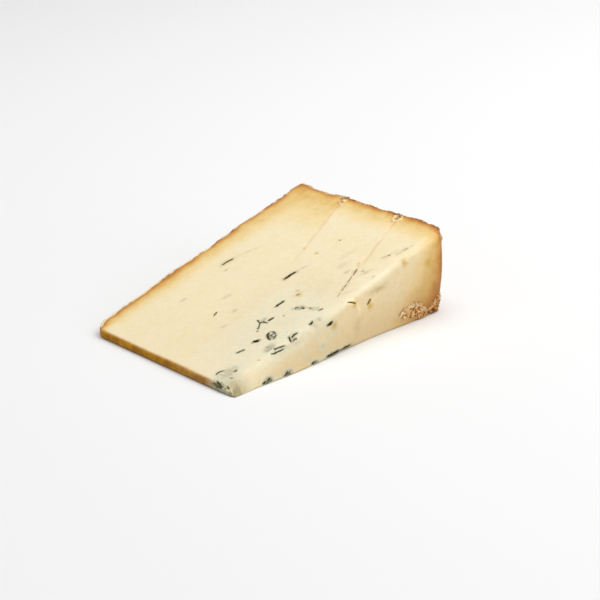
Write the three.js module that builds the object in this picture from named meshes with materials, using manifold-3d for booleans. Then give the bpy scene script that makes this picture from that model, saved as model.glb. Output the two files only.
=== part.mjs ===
// A wedge of blue-veined cheese, lying on one of its two radial cuts. It is a slice of a tall wheel:
// the nose is next to the wheel's axis, the curved rind is the wheel's side, the flat rind is the
// wheel's end, and the cut side is where the wheel was sawn across. Needle tracks run in from the
// curved rind, and blue mould lines the small cavities that the cuts open.
//
// Millimetres. +X runs from the nose to the curved rind, +Y along the wheel's axis from the cut side
// to the flat rind, and +Z up. The origin is the centre of the bottom of the bounding box.

import * as THREE from "three";
import { mergeVertices } from "three/addons/utils/BufferGeometryUtils.js";
import Module from "manifold-3d";

// Driving dimensions of the slice
const WHEEL_RADIUS = 110.4; // the wheel's axis to the curved rind
const NOSE_TRIM = 8.5; // the nose face stands this far from the wheel's axis
const SLICE_DEPTH = 77.4; // along the wheel's axis
const SLICE_ANGLE = THREE.MathUtils.degToRad(15.86); // between the two radial cuts
const LENGTH = WHEEL_RADIUS - NOSE_TRIM; // nose face to curved rind
const EDGE_RADIUS = 0.9; // the soft edge all round

// The four upright corners are worn to these radii, seen from above
const CORNERS = [
  { x: 0, y: 0, radius: 2.6 }, // nose and cut side
  { x: 0, y: SLICE_DEPTH, radius: 7.5 }, // nose and flat rind
  { x: LENGTH, y: 0, radius: 3.6 }, // curved rind and cut side
  { x: LENGTH, y: SLICE_DEPTH, radius: 1.6 }, // curved rind and flat rind
];

// The side faces leave their planes by these amounts, which fade out inside the slice
const FADE_DEPTH = 14;
const FOOT_SPREAD = 2.3; // the cut side's foot stands out by this at the nose
const FOOT_TUCK = 1.6; // and is tucked in by this at the curved rind
const RIND_BELLY = 0.9; // the curved rind swells at mid height
const RIND_TUCK = 1.6; // and turns in at the board
const RIND_WAVE = 0.4; // it also swells this much beside each needle row
const RIND_SWELL_SHIFT = 3.8; // the swelling stands on the cut side of the row by this

// The ridge between the upper cut and the cut side is soft near the nose and crisp past the break
const RIDGE = { softRadius: 3.2, crispRadius: 1.2, softUntil: 34, crispFrom: 58 };
const SLUMP = { share: 0.42, reach: 6.5 }; // the nose's corner at the cut side has sunk by this share

// Relief: height and size of the bumps on rind and on cut paste
const RIND_BUMPS = [
  { height: 0.62, size: 11, seed: 1 },
  { height: 0.42, size: 4.6, seed: 2 },
];
const PASTE_BUMPS = [{ height: 0.16, size: 15, seed: 3 }];
const FLAT_FOOT = 1.6; // relief fades out below this height, so that the base stays flat

// The step where the paste broke rather than cut, on the cut side
const LIP = { x: 54.6, z: 17.6, slope: 0.62, height: 1.0, width: 1.1, run: 13, low: 5.5, full: 11 };

// Needle rows enter the curved rind at these distances from the cut side and lean towards it
const NEEDLE_ROWS = [52.2, 22.8];
const NEEDLE_LEAN = THREE.MathUtils.degToRad(20);
const NEEDLE_WIDTH = 1.1;
const NEEDLE_DEPTH = 0.5;
const NEEDLE_STRETCHES = [
  { from: 1.5, to: 20 },
  { from: 21, to: 34 },
  { from: 38, to: 52 },
];
const NICK = { inset: 2.4, length: 4.8, width: 2.8, depth: 1.5 }; // where a needle broke the rind

// Cavities that the upper cut opens: place from the nose and the cut side, size, and turn in degrees
const TOP_CAVITIES = [
  { x: 52.6, y: 61.7, length: 5.8, width: 1.1, turn: -15 },
  { x: 27.0, y: 39.4, length: 3.7, width: 0.9, turn: 15 },
  { x: 55.7, y: 32.0, length: 5.3, width: 1.5, turn: -3 },
  { x: 42.1, y: 22.4, length: 3.4, width: 1.5, turn: 2 },
  { x: 48.5, y: 20.4, length: 2.2, width: 1.0, turn: -75 },
  { x: 44.2, y: 12.2, length: 4.4, width: 1.2, turn: -75 },
  { x: 33.9, y: 18.0, length: 2.6, width: 1.3, turn: 2 },
  { x: 30.8, y: 20.4, length: 4.2, width: 1.1, turn: 24 },
  { x: 27.1, y: 10.2, length: 3.8, width: 3.2, turn: -60 },
  { x: 30.8, y: 3.6, length: 4.0, width: 1.6, turn: 11 },
  { x: 22.8, y: 12.8, length: 2.6, width: 1.6, turn: -18 },
  { x: 16.1, y: 13.6, length: 3.8, width: 1.2, turn: -17 },
  { x: 23.8, y: 2.0, length: 3.8, width: 1.5, turn: -13 },
  { x: 8.3, y: 6.8, length: 1.9, width: 1.2, turn: -2 },
  { x: 6.0, y: 11.4, length: 3.2, width: 1.0, turn: -9 },
  { x: 79.6, y: 31.5, length: 1.8, width: 1.0, turn: -28 },
  { x: 80.8, y: 7.8, length: 2.8, width: 0.9, turn: -15 },
];
// Cavities in the cut side: place from the nose and the board, size, and turn in degrees
const SIDE_CAVITIES = [
  { x: 46.0, z: 11.6, length: 3.6, width: 1.3, turn: 22 },
  { x: 55.6, z: 16.4, length: 3.4, width: 1.1, turn: -34 },
  { x: 64.1, z: 14.2, length: 2.6, width: 0.9, turn: 44 },
];
const CAVITY_DEPTH = 0.8; // of its width

// The crust smeared from the rind, at the foot of the cut side: two humps with a dip between them
const CRUST = { from: 79.5, to: 99, dip: 93.5, low: 1.6, high: 5.6 };
const CRUST_LUMP = { radius: 1.6, pitch: 2.3, foot: 0.8, inset: 0.62 };

// Mesh steps
const STEPS = { x: 46, y: 36, z: 9 };
const EDGE_STEPS = 2; // of those, the steps in each soft edge
const LUMP_DETAIL = 1;

const PASTE_COLOUR = 0xf3e2b8;

const wasm = await Module();
wasm.setup();

const { clamp, smoothstep, lerp } = THREE.MathUtils;

/** A repeatable number from -1 to 1 for each corner of a cubic lattice. */
function lattice(i, j, k, seed) {
  const s = Math.sin(i * 127.1 + j * 311.7 + k * 74.7 + seed * 53.3) * 43758.5453;
  return 2 * (s - Math.floor(s)) - 1;
}

/** Smooth bumps from -1 to 1, about one to each length of size. */
function bumps(x, y, z, size, seed) {
  const cell = [x, y, z].map((v) => Math.floor(v / size));
  const [u, v, w] = [x, y, z].map((value, n) => smoothstep(value / size - cell[n], 0, 1));
  const row = (j, k) =>
    lerp(lattice(cell[0], j, k, seed), lattice(cell[0] + 1, j, k, seed), u);
  const sheet = (k) => lerp(row(cell[1], k), row(cell[1] + 1, k), v);
  return lerp(sheet(cell[2]), sheet(cell[2] + 1), w);
}

/** The height of the upper cut above the board, at a distance from the nose. */
function cutHeight(x) {
  return (x + NOSE_TRIM) * Math.tan(SLICE_ANGLE);
}

/** The place of a grid line on a length, with finer steps in the soft edge at each end. */
function gridLine(n, steps, length) {
  const edge = Math.min(EDGE_RADIUS, length / 3);
  if (n < EDGE_STEPS) return (edge * n) / EDGE_STEPS;
  if (n > steps - EDGE_STEPS) return length - (edge * (steps - n)) / EDGE_STEPS;
  return edge + ((length - 2 * edge) * (n - EDGE_STEPS)) / (steps - 2 * EDGE_STEPS);
}

/** Rounds an edge: how far a point moves in behind each of two faces, from its depth behind both. */
function roundOff(a, b, radius) {
  const deep = Math.min(radius - a, radius - b);
  if (deep <= 0) return [0, 0];
  const pull = 1 - Math.max(radius - a, radius - b) / Math.hypot(radius - a, radius - b);
  return [pull * (radius - a), pull * (radius - b)];
}

/** Wears the upright corners round, softens the ridge and lets the corner of the nose sink. */
function wear(p) {
  const height = cutHeight(p.x);
  for (const corner of CORNERS) {
    const [inX, inY] = [Math.abs(corner.x - p.x), Math.abs(corner.y - p.y)];
    const [dx, dy] = roundOff(inX, inY, corner.radius);
    p.x += corner.x ? -dx : dx;
    p.y += corner.y ? -dy : dy;
  }
  p.z *= cutHeight(p.x) / height;

  const crisp = smoothstep(p.x, RIDGE.softUntil, RIDGE.crispFrom);
  const radius = lerp(RIDGE.softRadius, RIDGE.crispRadius, crisp);
  const [dy, dz] = roundOff(p.y, cutHeight(p.x) - p.z, Math.min(radius, cutHeight(p.x)));
  p.y += dy;
  p.z -= dz;
  p.z *= 1 - SLUMP.share * Math.exp(-(p.x ** 2 + p.y ** 2) / SLUMP.reach ** 2);
}

/** How far the cut side stands out at a distance from the nose and a share of its height. */
function sideStandsOut(x, share) {
  const foot = lerp(FOOT_SPREAD, -FOOT_TUCK, smoothstep(x, 0, LENGTH));
  const wave = 0.5 * Math.sin((x - 18) / 9);
  return (foot + wave) * (1 - share) ** 2;
}

/** The broken step on the cut side: full height left of the lip, gone a short run from it. */
function lipStandsOut(x, z) {
  const past = LIP.x + (LIP.z - z) * LIP.slope - x;
  const step = smoothstep(past, -LIP.width / 2, LIP.width / 2);
  return LIP.height * step * Math.exp(-Math.max(past, 0) / LIP.run) * smoothstep(z, LIP.low, LIP.full);
}

/** How far the curved rind stands out at a distance along the wheel's axis and a share of its height. */
function rindStandsOut(y, share) {
  const belly = RIND_BELLY * Math.sin(Math.PI * share) - RIND_TUCK * (1 - share) ** 2;
  const turn = (y - NEEDLE_ROWS[0] + RIND_SWELL_SHIFT) / (NEEDLE_ROWS[0] - NEEDLE_ROWS[1]);
  return belly + RIND_WAVE * Math.cos(2 * Math.PI * turn);
}

function relief(list, p) {
  return list.reduce((sum, b) => sum + b.height * bumps(p.x, p.y, p.z, b.size, b.seed), 0);
}

/** A point of the slice's surface, from the point of the sharp-edged slice that it comes from. */
function surfacePoint(x, y, z) {
  const height = cutHeight(x);
  const radius = Math.min(EDGE_RADIUS, height / 3);
  const inner = new THREE.Vector3(
    clamp(x, radius, LENGTH - radius),
    clamp(y, radius, SLICE_DEPTH - radius),
    clamp(z, radius, height - radius),
  );
  const normal = new THREE.Vector3(x, y, z).sub(inner).normalize();
  const p = inner.addScaledVector(normal, radius);
  wear(p);

  const share = clamp(p.z / cutHeight(p.x), 0, 1);
  const nearSide = Math.max(0, 1 - p.y / FADE_DEPTH) ** 2;
  const nearRind = Math.max(0, 1 - (LENGTH - p.x) / FADE_DEPTH) ** 2;
  const facesSide = Math.max(-normal.y, 0);
  const bend = new THREE.Vector3(
    nearRind * rindStandsOut(p.y, share),
    -nearSide * (sideStandsOut(p.x, share) + facesSide * lipStandsOut(p.x, p.z)),
    0,
  );
  const rind = (Math.max(normal.x, 0) + Math.max(normal.y, 0)) * relief(RIND_BUMPS, p);
  const paste = (Math.max(normal.z, 0) + facesSide) * relief(PASTE_BUMPS, p);
  p.addScaledVector(normal, smoothstep(p.z, 0, FLAT_FOOT) * (rind + paste));
  p.z = Math.max(p.z, 0);
  return p.add(bend);
}

/** The six faces of the sharp-edged slice as grids, put through surfacePoint. */
function sliceGeometry() {
  const counts = [STEPS.x, STEPS.y, STEPS.z];
  const gridPoint = (i, j, k) => {
    const x = gridLine(i, STEPS.x, LENGTH);
    return surfacePoint(x, gridLine(j, STEPS.y, SLICE_DEPTH), gridLine(k, STEPS.z, cutHeight(x)));
  };
  const positions = [];
  for (let axis = 0; axis < 3; axis += 1) {
    const [a, b] = [(axis + 1) % 3, (axis + 2) % 3];
    for (const end of [0, counts[axis]]) {
      const at = (m, n) => {
        const cell = [end, end, end];
        cell[a] = m;
        cell[b] = n;
        return gridPoint(...cell);
      };
      for (let m = 0; m < counts[a]; m += 1)
        for (let n = 0; n < counts[b]; n += 1) {
          const quad = [at(m, n), at(m + 1, n), at(m + 1, n + 1), at(m, n + 1)];
          if (!end) quad.reverse();
          for (const k of [0, 1, 2, 0, 2, 3]) positions.push(...quad[k].toArray());
        }
    }
  }
  const geometry = new THREE.BufferGeometry();
  return geometry.setAttribute("position", new THREE.Float32BufferAttribute(positions, 3));
}

/** A closed geometry as a solid that can be joined and cut. */
function solid(geometry) {
  const bare = geometry.clone();
  bare.deleteAttribute("normal");
  bare.deleteAttribute("uv");
  const merged = mergeVertices(bare, 1e-3);
  const triVerts = new Uint32Array(merged.index.array);
  return new wasm.Manifold(
    new wasm.Mesh({ numProp: 3, vertProperties: merged.attributes.position.array, triVerts }),
  );
}

/** An uneven ball of the given half sizes, turned and put in place. */
function lump(place, halfSizes, turn, seed) {
  const ball = new THREE.IcosahedronGeometry(1, LUMP_DETAIL);
  const at = ball.attributes.position;
  for (let n = 0; n < at.count; n += 1) {
    const v = new THREE.Vector3().fromBufferAttribute(at, n);
    v.multiplyScalar(1 + 0.18 * bumps(v.x + 9 * seed, v.y, v.z, 0.9, seed));
    at.setXYZ(n, v.x, v.y, v.z);
  }
  ball.scale(...halfSizes);
  ball.applyQuaternion(turn);
  ball.translate(...place);
  return solid(ball);
}

/** Where the upper cut's surface is above a point of the plan. */
function onTop(x, y) {
  return surfacePoint(x, y, cutHeight(x)).z;
}

/** Turns X to a direction in the upper cut, with Z along its normal. */
function topTurn(degrees) {
  const tilt = new THREE.Quaternion().setFromAxisAngle(new THREE.Vector3(0, -1, 0), SLICE_ANGLE);
  const spin = new THREE.Quaternion().setFromAxisAngle(
    new THREE.Vector3(0, 0, 1),
    THREE.MathUtils.degToRad(degrees),
  );
  return tilt.multiply(spin);
}

function topCavities() {
  return TOP_CAVITIES.map(({ x, y, length, width, turn }, n) =>
    lump([x, y, onTop(x, y)], [length / 2, width / 2, CAVITY_DEPTH * width], topTurn(turn), n + 1),
  );
}

function sideCavities() {
  return SIDE_CAVITIES.map(({ x, z, length, width, turn }, n) => {
    const { y } = surfacePoint(x, 0, z);
    const spin = new THREE.Quaternion().setFromAxisAngle(
      new THREE.Vector3(0, -1, 0),
      THREE.MathUtils.degToRad(turn),
    );
    return lump([x, y, z], [length / 2, CAVITY_DEPTH * width, width / 2], spin, n + 31);
  });
}

/** One needle row: broken stretches of groove in the upper cut, and the nick behind the rind. */
function needleTrack(row, n) {
  const lean = THREE.MathUtils.radToDeg(NEEDLE_LEAN);
  const dent = (middle, length, width, depth, seed) => {
    const x = LENGTH - middle * Math.cos(NEEDLE_LEAN);
    const y = row - middle * Math.sin(NEEDLE_LEAN);
    return lump([x, y, onTop(x, y)], [length / 2, width / 2, depth], topTurn(lean), seed);
  };
  const grooves = NEEDLE_STRETCHES.map(({ from, to }, k) =>
    dent((from + to) / 2, to - from, NEEDLE_WIDTH, NEEDLE_DEPTH, 41 + 5 * n + k),
  );
  return [...grooves, dent(NICK.inset, NICK.length, NICK.width, NICK.depth, 61 + n)];
}

/** How high the smeared crust reaches at a distance from the nose. */
function crustTop(x) {
  const rise = smoothstep(x, CRUST.from - CRUST_LUMP.pitch, CRUST.from + 3 * CRUST_LUMP.pitch);
  const dip = Math.exp(-(((x - CRUST.dip) / CRUST_LUMP.pitch) ** 2));
  return lerp(CRUST.low, CRUST.high, rise * (1 - 0.45 * dip));
}

/** The smeared crust: overlapping lumps, uneven in size and place, in columns up to its outline. */
function crustLumps() {
  const lumps = [];
  for (let x = CRUST.from; x <= CRUST.to; x += CRUST_LUMP.pitch)
    for (let z = CRUST_LUMP.foot; z < crustTop(x); z += CRUST_LUMP.foot + 0.5 * CRUST_LUMP.pitch) {
      const seed = 71 + lumps.length;
      const [shiftX, shiftZ, growth, spin] = [1, 2, 3, 4].map((n) => lattice(seed, n, 6, 9));
      const size = CRUST_LUMP.radius * (0.85 + 0.3 * growth);
      const place = surfacePoint(x + 0.3 * CRUST_LUMP.pitch * shiftX, 0, z + 0.3 * shiftZ);
      place.y += CRUST_LUMP.inset * size;
      lumps.push(lump(place.toArray(), [1.3 * size, size, 0.9 * size], topTurn(60 * spin), seed));
    }
  return lumps;
}

/** A block that reaches from the board down, to keep the base flat. */
function belowBoard() {
  const block = new THREE.BoxGeometry(2 * LENGTH, 2 * SLICE_DEPTH, 20);
  block.translate(LENGTH / 2, SLICE_DEPTH / 2, -10);
  return solid(block);
}

/** The whole slice as one geometry, with its origin under its middle. */
function stiltonWedge() {
  let slice = solid(sliceGeometry());
  for (const piece of crustLumps()) slice = slice.add(piece);
  slice = slice.subtract(belowBoard());
  const cutters = [...topCavities(), ...sideCavities(), ...NEEDLE_ROWS.flatMap(needleTrack)];
  for (const cutter of cutters) slice = slice.subtract(cutter);

  const mesh = slice.getMesh();
  const geometry = new THREE.BufferGeometry();
  geometry.setAttribute("position", new THREE.BufferAttribute(mesh.vertProperties, 3));
  geometry.setIndex(new THREE.BufferAttribute(mesh.triVerts, 1));
  geometry.computeBoundingBox();
  const { min, max } = geometry.boundingBox;
  geometry.translate(-(min.x + max.x) / 2, -(min.y + max.y) / 2, -min.z);
  geometry.computeVertexNormals();
  return geometry;
}

const wedge = new THREE.Mesh(
  stiltonWedge(),
  new THREE.MeshStandardMaterial({ color: PASTE_COLOUR, roughness: 0.55, metalness: 0 }),
);
wedge.name = "stilton_wedge";

const part = new THREE.Group();
part.add(wedge);

export default part;
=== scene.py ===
"""The looks of a wedge of ripe blue-veined cheese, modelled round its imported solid.

The slice is made in millimetres in its own axes: X from the nose to the curved rind, Y from the cut
side to the flat rind and Z up, with the origin where the nose, the cut side and the board meet. It is
then moved to the solid's place and scaled to metres.
"""

import itertools
import math

import bmesh
import bpy
import numpy as np
from mathutils import Matrix, Vector
from mathutils.geometry import delaunay_2d_cdt

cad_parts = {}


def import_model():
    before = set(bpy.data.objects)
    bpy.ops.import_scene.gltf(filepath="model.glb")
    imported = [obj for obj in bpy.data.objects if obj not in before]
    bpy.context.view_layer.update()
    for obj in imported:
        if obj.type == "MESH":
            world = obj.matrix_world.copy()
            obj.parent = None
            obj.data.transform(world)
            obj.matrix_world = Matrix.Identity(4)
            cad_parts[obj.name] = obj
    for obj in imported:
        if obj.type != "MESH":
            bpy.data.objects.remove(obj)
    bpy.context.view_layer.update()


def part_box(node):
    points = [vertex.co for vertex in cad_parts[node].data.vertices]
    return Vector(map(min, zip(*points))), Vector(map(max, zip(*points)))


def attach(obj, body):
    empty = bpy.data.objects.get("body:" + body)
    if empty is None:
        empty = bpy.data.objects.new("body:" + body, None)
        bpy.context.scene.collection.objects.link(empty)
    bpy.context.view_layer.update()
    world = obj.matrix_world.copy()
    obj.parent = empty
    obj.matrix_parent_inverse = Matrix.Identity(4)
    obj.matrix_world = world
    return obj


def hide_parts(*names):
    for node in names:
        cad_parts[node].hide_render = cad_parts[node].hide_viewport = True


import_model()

NODE = "stilton_wedge"
MM = 0.001

# Driving dimensions of the slice
WHEEL_RADIUS = 110.4
NOSE_TRIM = 8.5
SLICE_DEPTH = 77.4
SLICE_ANGLE = math.radians(15.86)
SLOPE = math.tan(SLICE_ANGLE)
LENGTH = WHEEL_RADIUS - NOSE_TRIM
EDGE_RADIUS = 0.9

# Upright corners: place and worn radius, seen from above
NOSE_SIDE_CORNER = (0, 0, 2.6)
NOSE_RIND_CORNER = (0, SLICE_DEPTH, 7.5)
RIND_SIDE_CORNER = (LENGTH, 0, 3.6)
RIND_RIND_CORNER = (LENGTH, SLICE_DEPTH, 1.6)
CORNERS = (NOSE_SIDE_CORNER, NOSE_RIND_CORNER, RIND_SIDE_CORNER, RIND_RIND_CORNER)

# How the side faces leave their planes, which fades out inside the slice
FADE_DEPTH = 14
FOOT_SPREAD = 2.3
FOOT_TUCK = 1.6
RIND_BELLY = 0.9
RIND_TUCK = 1.6
RIND_WAVE = 0.4
RIND_SWELL_SHIFT = 3.8
FOOT_WAVE, FOOT_WAVE_FROM, FOOT_WAVE_REACH = 0.5, 18, 9

# The ridge between the upper cut and the cut side is soft, crisp past the break, and soft again
RIDGE_SOFT_RADIUS, RIDGE_CRISP_RADIUS, RIDGE_END_RADIUS = 4.6, 2.4, 4.4
RIDGE_SOFT_UNTIL, RIDGE_CRISP_FROM, RIDGE_CRISP_UNTIL = 34, 58, 80
SLUMP_SHARE, SLUMP_REACH = 0.42, 6.5

# Layers of bumps, each with its height, size and seed
RIND_BUMPS = ((0.62, 11, 1), (0.42, 4.6, 2))
PASTE_BUMPS = ((0.16, 15, 3),)
FINE_PASTE_BUMPS = ((0.03, 3.5, 52), (0.014, 1.3, 53))
CREASES = ((1, 3.3, 41), (0.6, 1.6, 42), (0.3, 0.8, 48))
RIND_GRIT = ((0.6, 0.9, 43), (0.4, 0.5, 44))
CRUST_STRANDS = ((1, 1.15, 45), (0.4, 0.6, 46))
NICK_STRANDS = ((1, 0.8, 58), (0.35, 0.45, 59))
FAN_BUMPS = ((0.6, 1, 31), (0.4, 0.45, 32))
# The same where they make an outline ragged or break a line up
CRUST_OUTLINE = ((0.5, 1.3, 21), (0.35, 0.7, 22))
RIM_BREAKS = ((1, 3.0, 27), (0.6, 1.3, 28))
TRACK_BREAKS = ((1, 4.2, 72), (0.5, 1.8, 73))
RIDGE_BREAKS = ((0.35, 5, 74), (0.2, 1.6, 75))

# Relief fades out below this height, so that the base stays flat
FLAT_FOOT = 1.6
# The rind's relief is lower by this share at the sawn corner, within this reach
CORNER_CALM, CORNER_CALM_REACH = 0.75, 6

# The step where the paste broke, on the cut side
LIP_X, LIP_Z, LIP_CURVE = 58.8, 11, 0.07
LIP_HEIGHT, LIP_WIDTH, LIP_RUN = 0.9, 1.8, 13
LIP_LOW, LIP_FULL = 8.5, 15

# Needle rows: where they enter the curved rind, and their lean towards the cut side
NEEDLE_ROWS = (52.2, 22.8)
NEEDLE_LEAN = math.radians(20)
# Each leaves a brown track in the upper cut, with a shallow groove along it, and both fade inwards
TRACK_WIDTH, TRACK_FULL_UNTIL, TRACK_END = 0.62, 22, 52
GROOVE_WIDTH, GROOVE_DEPTH, GROOVE_FULL_UNTIL = 0.45, 0.16, 30

# Nicks where the needles broke the rind, and the needle's hole in each
NICK_INSET, NICK_LENGTH, NICK_WIDTH, NICK_DEPTH = 2.5, 5.2, 3.1, 0.42
HOLE_WIDTH, HOLE_FROM, HOLE_TO = 0.3, 1.2, 3.6

# How deep trenches are, as a share of their width, by their lining
TRENCH_DEPTH = {"mould": 0.7, "olive": 0.35, "amber": 0.5}

# Trenches lined with mould in the upper cut: width, then the plan points each runs through
TOP_MOULD_MARKS = (
    (1.05, (39.9, 22.0), (41.8, 22.2), (43.5, 22.1)),
    (0.40, (29.2, 18.6), (30.6, 19.8), (31.7, 19.1), (31.8, 17.4)),
    (0.36, (31.3, 21.9), (30.5, 20.0)),
    (0.36, (29.2, 18.6), (27.7, 17.7)),
    (0.95, (32.9, 17.9), (34.0, 17.9), (34.7, 17.7)),
    (0.34, (42.6, 14.7), (43.5, 14.0)),
    (0.50, (43.9, 12.6), (43.7, 11.6)),
    (0.60, (45.3, 5.6), (46.5, 5.0)),
    (0.70, (28.1, 12.4), (26.9, 11.6), (25.9, 10.2), (25.8, 8.9)),
    (0.45, (28.7, 12.2), (29.3, 11.2), (29.0, 9.9)),
    (0.55, (28.3, 8.9), (27.3, 8.2), (26.5, 8.1)),
    (0.40, (26.8, 10.5), (28.1, 10.3)),
    (1.40, (21.8, 13.1), (22.7, 12.8), (23.5, 12.3)),
    (0.80, (14.9, 13.8), (16.0, 13.4), (17.2, 12.9)),
    (0.50, (29.8, 4.1), (29.2, 2.7), (29.2, 1.5)),
    (0.60, (30.3, 3.0), (31.6, 3.3), (32.9, 3.2)),
    (0.45, (30.1, 1.6), (31.4, 1.4)),
    (0.50, (22.8, 3.4), (24.6, 2.8), (26.4, 1.9)),
    (0.42, (20.8, 2.4), (22.8, 1.6), (25.2, 0.9)),
    (0.90, (38.5, 2.6), (39.8, 3.0)),
    (0.40, (3.5, 11.2), (5.0, 11.5), (6.4, 10.3)),
    (0.55, (1.5, 8.4), (0.8, 6.5), (0.5, 4.8)),
    (0.65, (49.1, 62.1), (51.3, 61.9), (53.3, 61.2)),
    (1.00, (53.1, 32.3), (55.3, 32.1), (58.0, 31.6)),
)
# The same with a thinner, olive lining
TOP_OLIVE_MARKS = (
    (0.85, (44.9, 10.3), (45.0, 9.0)),
    (0.40, (4.5, 5.9), (5.6, 4.6)),
    (0.48, (69.4, 11.9), (67.6, 11.0), (65.6, 10.1)),
    (0.32, (65.0, 9.9), (61.4, 8.4)),
    (0.36, (60.6, 8.1), (57.0, 6.8)),
    (0.28, (56.2, 6.5), (53.4, 5.4)),
    (0.60, (25.4, 38.9), (26.7, 39.5), (28.0, 40.0)),
    (0.60, (26.3, 16.8), (27.1, 16.7)),
    (0.45, (37.1, 15.4), (37.9, 15.1)),
    (0.40, (15.6, 4.0), (16.3, 3.4)),
    (0.95, (7.5, 6.6), (8.7, 6.8)),
    (0.50, (79.1, 31.8), (79.9, 31.2)),
    (0.50, (80.0, 7.3), (80.8, 6.7)),
    (0.40, (85.6, 4.2), (86.6, 3.8)),
)
# The same where no mould lines them, so that the paste has only dried to amber
TOP_AMBER_MARKS = (
    (0.55, (2.1, 3.7), (1.3, 2.2)),
    (0.45, (47.9, 20.5), (48.9, 19.9)),
    (0.35, (46.4, 58.0), (48.1, 57.8)),
)
# Trenches in the cut side: width, then distances from the nose and heights
SIDE_MOULD_MARKS = (
    (0.85, (43.9, 11.8), (44.8, 12.1), (45.9, 12.5)),
    (0.55, (13.2, 0.8), (14.2, 1.1)),
    (0.50, (14.8, 1.0), (16.6, 1.5)),
    (0.90, (22.2, 0.8), (23.9, 1.2)),
    (0.70, (35.0, 0.9), (36.4, 1.0)),
    (0.85, (42.1, 0.9), (45.1, 1.2), (48.8, 1.1)),
    (0.70, (49.4, 1.0), (51.4, 1.3), (54.0, 1.2)),
)
SIDE_AMBER_MARKS = (
    (1.00, (62.7, 13.5), (63.4, 14.4), (64.3, 15.5)),
    (0.90, (53.7, 18.0), (55.1, 17.1), (56.8, 15.9)),
)

# Crust smeared from the rind over the foot of the cut side: its outline, seen from that side
CRUST_UPPER = (
    (78.0, 3.7), (79.1, 5.2), (81.0, 6.2), (84.8, 7.0), (87.5, 6.8), (89.3, 5.8),
    (90.8, 4.0), (92.2, 2.9), (94.3, 3.1), (96.4, 4.5), (98.2, 5.6), (102.0, 6.2),
)
CRUST_LOWER = ((78.0, 3.8), (80.2, 3.0), (82.5, 2.1), (85.0, 1.3), (88.0, 0.4), (89.0, 0.0))

# Mould under the surface of the upper cut: place, length, width, turn in degrees and strength
TOP_BLOOM = (
    (59.4, 59.2, 9.0, 1.3, -23, 0.30),
    (47.7, 58.3, 2.8, 0.8, -5, 0.30),
    (36.1, 44.1, 3.6, 1.6, -16, 0.60),
    (23.6, 30.6, 3.4, 1.6, -25, 0.55),
    (27.2, 58.0, 2.6, 1.3, 0, 0.50),
    (31.5, 34.4, 3.2, 1.6, 20, 0.52),
    (60.4, 31.2, 5.5, 1.2, -16, 0.60),
    (79.8, 31.0, 3.0, 1.4, -28, 0.35),
    (74.0, 22.0, 9.0, 2.6, -8, 0.28),
    (70.0, 17.0, 7.0, 2.2, 15, 0.22),
    (79.6, 7.4, 3.2, 1.3, -28, 0.74),
    (82.6, 4.5, 2.4, 1.0, -22, 0.66),
    (85.6, 4.2, 3.0, 1.2, -12, 0.76),
    (88.4, 3.4, 2.2, 0.8, -14, 0.50),
    (83.1, 5.8, 6.0, 2.6, -18, 0.20),
    (48.4, 24.4, 2.6, 1.0, 0, 0.45),
    (44.0, 13.0, 6.4, 2.6, -75, 0.85),
    (45.2, 8.2, 5.6, 3.4, -60, 0.75),
    (38.3, 15.4, 2.2, 1.6, 0, 0.45),
    (31.6, 19.6, 7.0, 3.6, 22, 0.75),
    (26.7, 17.0, 1.2, 1.0, 0, 0.60),
    (38.8, 2.9, 2.6, 2.0, 0, 0.70),
    (27.3, 10.1, 5.6, 4.4, -60, 0.88),
    (42.6, 13.6, 6.5, 2.2, -62, 0.90),
    (30.8, 3.4, 6.4, 3.6, 11, 0.75),
    (22.4, 5.6, 7.4, 4.4, 10, 0.86),
    (23.6, 2.0, 8.0, 4.4, -13, 0.62),
    (29.0, -0.2, 28.0, 5.0, 0, 0.52),
    (41.0, 1.2, 9.0, 5.0, 10, 0.66),
    (6.2, 8.4, 13.0, 7.5, -9, 0.66),
    (0.5, 6.2, 8.0, 3.2, 90, 1.40),
    (6.2, 1.8, 2.0, 1.6, 0, 0.60),
    (66.8, 10.9, 7.0, 1.8, 23, 0.50),
    (59.5, 7.7, 10.0, 1.9, 21, 0.52),
    (57.3, 4.2, 6.0, 1.4, -26, 0.45),
    (69.0, 7.0, 5.6, 1.8, -18, 0.55),
    (69.2, 8.7, 1.8, 1.3, 0, 0.85),
    (66.2, 13.7, 3.6, 1.8, 0, 0.58),
    (67.9, 18.6, 5.0, 2.6, 10, 0.45),
    (68.1, 2.5, 1.6, 1.1, 0, 0.78),
    (32.0, 12.0, 54.0, 38.0, 8, 0.34),
)
# The same on the cut side: distance from the nose, height, length, width, turn and strength
SIDE_BLOOM = (
    (15.4, 1.0, 5.0, 2.5, 12, 1.30),
    (24.2, 0.9, 4.4, 2.6, 6, 1.35),
    (36.5, 0.8, 3.4, 2.0, 0, 1.15),
    (45.5, 0.9, 8.4, 2.3, 2, 1.35),
    (51.9, 1.0, 6.0, 1.8, 0, 1.20),
    (41.0, 5.2, 4.0, 2.4, 20, 0.50),
    (58.5, 9.0, 2.4, 3.4, 0, 0.35),
    (47.0, 8.6, 6.5, 3.4, 25, 0.35),
    (68.0, 18.0, 7.5, 2.4, 4, 0.60),
    (40.0, 9.0, 9.0, 3.0, 18, 0.22),
    (33.4, 4.4, 5.0, 2.2, 80, 0.30),
    (9.0, 2.0, 22.0, 7.0, 0, 0.22),
    (58.0, 7.0, 3.0, 5.0, 0, 0.25),
)
# How far these patches reach into the paste
BLOOM_REACH = 2.5

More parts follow.
